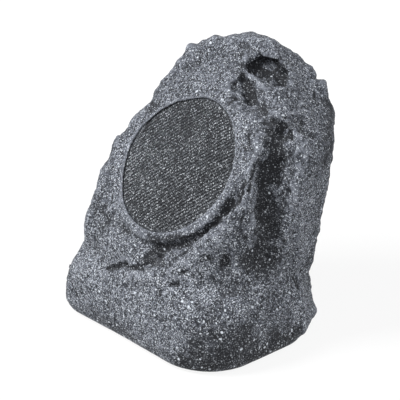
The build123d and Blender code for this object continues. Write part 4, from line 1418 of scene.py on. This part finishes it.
@dataclass
class Grille:
    """Perforated steel grille with a turned-back edge, painted like the stone. Lengths in millimetres."""

    setting: Setting
    recess: float = 3.0
    rise: float = 3.0
    sheet: float = 1.0
    skirt: float = 6.0
    margin: float = 2.6
    row_pitch: float = 3.5
    hole_pitch: float = 2.0
    hole_radius: float = 0.86
    row_angle: float = 43.0
    patches: tuple[tuple[float, float, float, float], ...] = (
        (20.0, -42.0, 30.0, 0.75),
        (48.0, 4.0, 22.0, 0.55),
        (-12.0, 44.0, 34.0, 0.6),
        (-55.0, 20.0, 16.0, 0.35),
    )
    rim_width: float = 2.2
    rim_segments: int = 160
    flat_inset: float = 0.4
    clearance: float = 0.05
    sharp_angle: float = 35.0

    def __post_init__(self) -> None:
        """Take the radius from the grille's solid."""
        low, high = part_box("grille")
        self.radius = (high.x - low.x) / 2 / MM

    def build(self, paint: bpy.types.Material) -> bpy.types.Object:
        """Make the grille.

        Args:
            paint: Material of the whole grille.

        Returns:
            The grille as an object at the origin.
        """
        sheet = self._punched_sheet(paint)
        shape = bmesh.new()
        shape.from_mesh(sheet)
        self._turn_rim(shape)
        shape.to_mesh(sheet)
        shape.free()
        self._shade(sheet)
        sheet.transform(self.setting.driver_matrix())
        sheet.update()
        sheet.set_sharp_from_angle(angle=math.radians(self.sharp_angle))
        sheet.materials.clear()
        sheet.materials.append(paint)
        return added("grille_face", sheet)

    def _shade(self, sheet: bpy.types.Mesh) -> None:
        """Store dark patches of the sheet, which its paint reads and darkens.

        Args:
            sheet: The sheet in the driver's axes.
        """
        points = gathered(sheet.vertices, "co") / MM
        undarkened = np.ones(len(points))
        for x, y, size, depth in self.patches:
            away = np.hypot(points[:, 0] - x, points[:, 1] - y)
            undarkened *= 1.0 - depth * np.exp(-((away / size) ** 2))
        store_tone_marks(sheet, 1.0 - undarkened)

    def _punched_sheet(self, paint: bpy.types.Material) -> bpy.types.Mesh:
        """The domed sheet with its holes, in the driver's axes.

        Args:
            paint: Material of the sheet.

        Returns:
            A plain mesh.
        """
        tree = SheetTree()
        flat = self.radius - self.flat_inset
        values = {
            "Radius": flat * MM,
            "Punched Radius": (flat - self.margin) * MM,
            "Row Pitch": self.row_pitch * MM,
            "Hole Pitch": self.hole_pitch * MM,
            "Hole Radius": self.hole_radius * MM,
            "Row Angle": math.radians(self.row_angle),
            "Rows": 2 * math.ceil(flat / self.row_pitch) + 1,
            "Columns": 2 * math.ceil(flat / self.hole_pitch) + 3,
            "Sheet": self.sheet * MM,
            "Rise": self.rise * MM,
            "Edge Height": -self.recess * MM,
            "Paint": paint,
        }
        holder = added("punched_sheet", bpy.data.meshes.new("punched_sheet"))
        modifier = holder.modifiers.new("punch", "NODES")
        modifier.node_group = tree.tree
        for name, value in values.items():
            modifier[tree.sockets[name]] = value
        mesh = applied(holder)
        mesh.name = "grille_face"
        holder.modifiers.remove(modifier)
        bpy.data.objects.remove(holder)
        return mesh

    def _turn_rim(self, shape: bmesh.types.BMesh) -> None:
        """Add the rounded rim and the skirt behind it, in the driver's axes.

        Args:
            shape: Mesh that the rim is added to.
        """
        top = -self.recess
        outer = self.radius - self.clearance
        foot = top - self.skirt + self.clearance
        profile = [
            (outer - self.sheet, foot),
            (outer, foot),
            (outer, top - 0.9),
            (outer - 0.25, top - 0.3),
            (outer - 0.8, top + 0.05),
            (outer - self.rim_width, top + 0.16),
            (outer - self.rim_width, top - self.sheet + 0.1),
            (outer - self.sheet - 0.5, top - self.sheet - 0.2),
            (outer - self.sheet, top - self.sheet - 0.8),
        ]
        rings = []
        for index in range(self.rim_segments):
            turn = math.tau * index / self.rim_segments
            across, along = math.cos(turn) * MM, math.sin(turn) * MM
            rings.append([shape.verts.new((r * across, r * along, z * MM)) for r, z in profile])
        count = len(profile)
        for index, ring in enumerate(rings):
            after = rings[(index + 1) % self.rim_segments]
            for step in range(count):
                follow = (step + 1) % count
                face = shape.faces.new((ring[step], after[step], after[follow], ring[follow]))
                face.smooth = True


@dataclass
class Fittings:
    """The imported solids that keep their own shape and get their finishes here."""

    nodes: dict[str, bpy.types.Object]
    finishes: dict[Finish, tuple[str, ...]] = field(default_factory=dict)

    def dress(self) -> int:
        """Give each node its material.

        Returns:
            Number of nodes that were dressed.
        """
        total = 0
        for finish, names in self.finishes.items():
            material = finish.material()
            for name in names:
                target = self.nodes[name]
                for slot in target.material_slots:
                    slot.material = material
                if not target.material_slots:
                    target.data.materials.append(material)
                total += 1
        return total


@dataclass(frozen=True)
class Lamp:
    """A square soft lamp: metres from the aim to the right, up and to the camera, its side and its watts."""

    name: str
    right: float
    up: float
    near: float
    side: float
    power: float


@dataclass
class Studio:
    """Pale floor, soft light and the camera at the photograph's angle. Lengths in metres."""

    setting: Setting
    view: View
    sensor: float = 36.0
    sight_end: float = 50.0
    floor_size: float = 14.0
    floor_fibre: float = 0.02
    floor_greys: Pair = (0.62, 0.66)
    floor_glow: float = 1.1
    glow_edge: Pair = (0.25, 0.75)
    glow_least: float = 0.8
    sky: Colour = (0.95, 0.97, 1.0, 1.0)
    sky_light: float = 0.2
    lamps: tuple[Lamp, ...] = (
        Lamp("key_lamp", -1.25, 1.15, 0.45, 0.7, 40.0),
        Lamp("front_lamp", 0.5, 0.45, 1.9, 1.4, 10.0),
        Lamp("side_lamp", 1.5, 0.7, 0.6, 1.0, 11.0),
    )

    def build(self) -> None:
        """Set up the whole studio."""
        bpy.context.scene.view_settings.view_transform = "Standard"
        self._camera()
        self._floor()
        self._world()
        for lamp in self.lamps:
            self._hang(lamp)

    def _camera(self) -> None:
        """Place the camera at the photograph's view."""
        right, up, back = self.view.axes()
        lens = bpy.data.cameras.new("photo_camera")
        lens.sensor_width = self.sensor
        lens.lens = self.view.focus() * self.sensor / IMAGE_SIDE
        lens.clip_end = self.sight_end
        camera = added("photo_camera", lens)
        turn = Matrix((right, up, back)).transposed().to_4x4()
        camera.matrix_world = Matrix.Translation(self.view.eye(self.setting)) @ turn
        bpy.context.scene.camera = camera

    def _floor(self) -> None:
        """Lay a wide white floor that keeps the shadow."""
        side = self.floor_size / 2
        mesh = bpy.data.meshes.new("studio_floor")
        corners = [(-side, -side, 0.0), (side, -side, 0.0), (side, side, 0.0), (-side, side, 0.0)]
        mesh.from_pydata(corners, [], [(0, 1, 2, 3)])
        floor = added("studio_floor", mesh)
        material = bpy.data.materials.new("floor_paper")
        graph = Graph.of(material)
        place = graph.place()
        fibres = graph.clouds(place, self.floor_fibre, 3.0, 0.6)
        paper = {
            "Base Color": graph.mix(fibres, *(grey(level) for level in self.floor_greys)),
            "Roughness": 0.9,
            "Specular IOR Level": 0.1,
        }
        shader = graph.add("ShaderNodeBsdfPrincipled", None, paper)
        glow = graph.add("ShaderNodeEmission", None, {"Color": grey(1.0), "Strength": self.floor_glow})
        away = graph.add("ShaderNodeVectorMath", {"operation": "LENGTH"}, {0: place}, "Value")
        glow_share = self._seen(graph) * away.between(*self.glow_edge, self.glow_least, 1.0)
        mixed = graph.add("ShaderNodeMixShader", None, {0: glow_share, 1: shader, 2: glow})
        graph.end(mixed)
        mesh.materials.append(material)
        floor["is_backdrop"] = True

    @staticmethod
    def _seen(graph: Graph) -> Value:
        """Which rays see the white of the studio.

        Args:
            graph: Graph that the nodes go into.

        Returns:
            1 for rays from the camera, from gloss and through glass.
        """
        camera = graph.add("ShaderNodeLightPath", None, None, "Is Camera Ray")
        gloss, glass = camera.sibling("Is Glossy Ray"), camera.sibling("Is Transmission Ray")
        return camera.larger(gloss).larger(glass)

    def _world(self) -> None:
        """White surroundings that light the stone softly."""
        world = bpy.data.worlds.new("studio_world")
        graph = Graph.of(world)
        soft = graph.add("ShaderNodeBackground", None, {"Color": self.sky, "Strength": self.sky_light})
        white = graph.add("ShaderNodeBackground", None, {"Color": grey(1.0), "Strength": 1.0})
        mixed = graph.add("ShaderNodeMixShader", None, {0: self._seen(graph), 1: soft, 2: white})
        graph.end(mixed, "ShaderNodeOutputWorld")
        bpy.context.scene.world = world

    def _hang(self, lamp: Lamp) -> None:
        """Hang one lamp, turned to the aim.

        Args:
            lamp: The lamp to hang.
        """
        right, _, back = self.view.axes()
        middle = self.setting.stone(*self.view.aim)
        away = right * lamp.right + Vector((0.0, 0.0, lamp.up)) + back * lamp.near
        light = bpy.data.lights.new(lamp.name, "AREA")
        light.shape = "SQUARE"
        light.size = lamp.side
        light.energy = lamp.power
        hung = added(lamp.name, light)
        turn = away.to_track_quat("Z", "Y").to_matrix().to_4x4()
        hung.matrix_world = Matrix.Translation(middle + away) @ turn


def finishes() -> dict[Finish, tuple[str, ...]]:
    """Finishes of the solids that keep their own shape.

    Returns:
        The nodes that each finish goes on.
    """
    return {
        Finish(
            "black_weather_cloth", (0.004, 0.004, 0.004, 1.0), (0.011, 0.011, 0.011, 1.0),
            Pattern.WEAVE, 0.0007, 0.0002, 0.95, 0.05, 0.0, 0.1,
        ): ("grille_cloth",),
        Finish(
            "basket_powder_coat", (0.015, 0.015, 0.016, 1.0), (0.03, 0.03, 0.031, 1.0),
            Pattern.MOTTLE, 0.0014, 0.0001, 0.5,
        ): ("woofer_basket",),
        Finish(
            "closed_foam", (0.022, 0.022, 0.023, 1.0), (0.006, 0.006, 0.006, 1.0),
            Pattern.PORES, 0.0012, 0.0002, 0.9, 0.1, 0.0, 0.2,
        ): ("woofer_gasket", "base_gasket"),
        Finish(
            "soft_rubber", (0.012, 0.012, 0.012, 1.0), (0.024, 0.024, 0.024, 1.0),
            Pattern.MOTTLE, 0.002, 0.00005, 0.72, 0.12, 0.0, 0.35,
        ): (
            "woofer_surround", "gland_seal", "foot_front_left", "foot_front_right", "foot_rear_left",
            "foot_rear_right",
        ),
        Finish(
            "cone_plastic", (0.022, 0.022, 0.024, 1.0), (0.04, 0.04, 0.042, 1.0),
            Pattern.MOTTLE, 0.0015, 0.00005, 0.42,
        ): ("woofer_cone", "dust_cap"),
        Finish(
            "spider_cloth", (0.36, 0.2, 0.07, 1.0), (0.2, 0.1, 0.03, 1.0),
            Pattern.WEAVE, 0.0008, 0.0002, 0.85, 0.1, 0.0, 0.2,
        ): ("spider",),
        Finish(
            "former_foil", (0.55, 0.5, 0.4, 1.0), (0.42, 0.37, 0.28, 1.0),
            Pattern.BRUSHED, 0.003, 0.00003, 0.3, 0.15, 0.9,
        ): ("voice_coil_former",),
        Finish(
            "enamelled_copper", (0.42, 0.16, 0.06, 1.0), (0.16, 0.05, 0.02, 1.0),
            Pattern.WINDING, 0.0008, 0.0002, 0.32, 0.1, 0.85,
        ): ("voice_coil", "crossover_inductor"),
        Finish(
            "zinc_plate", (0.5, 0.51, 0.53, 1.0), (0.4, 0.39, 0.36, 1.0),
            Pattern.MOTTLE, 0.006, 0.00003, 0.36, 0.2, 1.0,
        ): ("top_plate", "back_plate", "board_screws"),
        Finish(
            "ferrite", (0.018, 0.018, 0.02, 1.0), (0.04, 0.038, 0.036, 1.0),
            Pattern.PORES, 0.002, 0.0001, 0.6,
        ): ("magnet",),
        Finish(
            "pressed_fibre", (0.16, 0.07, 0.03, 1.0), (0.24, 0.12, 0.05, 1.0),
            Pattern.BRUSHED, 0.002, 0.00006, 0.7,
        ): ("terminal_board",),
        Finish(
            "tinned_brass", (0.62, 0.6, 0.55, 1.0), (0.5, 0.42, 0.26, 1.0),
            Pattern.MOTTLE, 0.003, 0.00003, 0.28, 0.2, 1.0,
        ): ("terminal_tags",),
        Finish(
            "moulded_black_plastic", (0.018, 0.018, 0.019, 1.0), (0.032, 0.032, 0.033, 1.0),
            Pattern.MOTTLE, 0.003, 0.00006, 0.48,
        ): (
            "tweeter_bridge", "tweeter_housing", "tweeter_faceplate", "base_plate", "gland_body", "gland_cap",
            "gland_locknut",
        ),
        Finish(
            "nickel_plate", (0.6, 0.57, 0.52, 1.0), (0.5, 0.47, 0.42, 1.0),
            Pattern.MOTTLE, 0.004, 0.00002, 0.22, 0.15, 1.0,
        ): ("tweeter_magnet",),
        Finish(
            "dome_silk", (0.02, 0.018, 0.017, 1.0), (0.05, 0.046, 0.043, 1.0),
            Pattern.WEAVE, 0.0005, 0.00008, 0.6,
        ): ("tweeter_dome",),
        Finish(
            "blackened_screw_steel", (0.035, 0.034, 0.033, 1.0), (0.10, 0.098, 0.095, 1.0),
            Pattern.BRUSHED, 0.002, 0.00004, 0.38, 0.2, 0.9,
        ): ("driver_screws", "base_screws"),
        Finish(
            "circuit_board", (0.01, 0.09, 0.03, 1.0), (0.02, 0.16, 0.06, 1.0),
            Pattern.TRACES, 0.006, 0.00005, 0.35,
        ): ("crossover_board",),
        Finish(
            "fired_ceramic", (0.62, 0.6, 0.55, 1.0), (0.5, 0.48, 0.43, 1.0),
            Pattern.PORES, 0.0015, 0.0001, 0.75,
        ): ("crossover_resistor",),
        Finish(
            "capacitor_film", (0.35, 0.1, 0.02, 1.0), (0.45, 0.16, 0.04, 1.0),
            Pattern.MOTTLE, 0.005, 0.00004, 0.3,
        ): ("crossover_capacitor_1", "crossover_capacitor_2"),
    }


def main() -> None:
    """Build the speaker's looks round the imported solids."""
    logging.basicConfig(level=logging.INFO)
    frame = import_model()
    setting = Setting()
    view = View()
    Studio(setting, view).build()

    dressed = Fittings(frame["nodes"], finishes()).dress()
    LOG.info("%d solids dressed", dressed)

    stone = Granite("moulded_granite")
    skin = StoneSkin(setting, view).build(frame["nodes"]["rock_shell"])
    skin.data.materials.append(stone.material())
    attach(skin, "enclosure")
    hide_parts("rock_shell")
    LOG.info("%s has %d faces", skin.name, len(skin.data.polygons))

    paint = Granite(
        "grille_paint",
        dark=(0.014, 0.016, 0.019, 1.0),
        middle=(0.034, 0.038, 0.044, 1.0),
        pale=(0.13, 0.141, 0.158, 1.0),
        white=(0.60, 0.63, 0.67, 1.0),
        white_share=0.13,
        flake_share=0.0,
        relief=0.0002,
        hollow_depth=0.8,
        foot_flakes=0.0,
    )
    grille = Grille(setting).build(paint.material())
    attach(grille, "enclosure")
    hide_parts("grille")
    LOG.info("%s has %d faces", grille.name, len(grille.data.polygons))


if __name__ == "__main__":
    main()
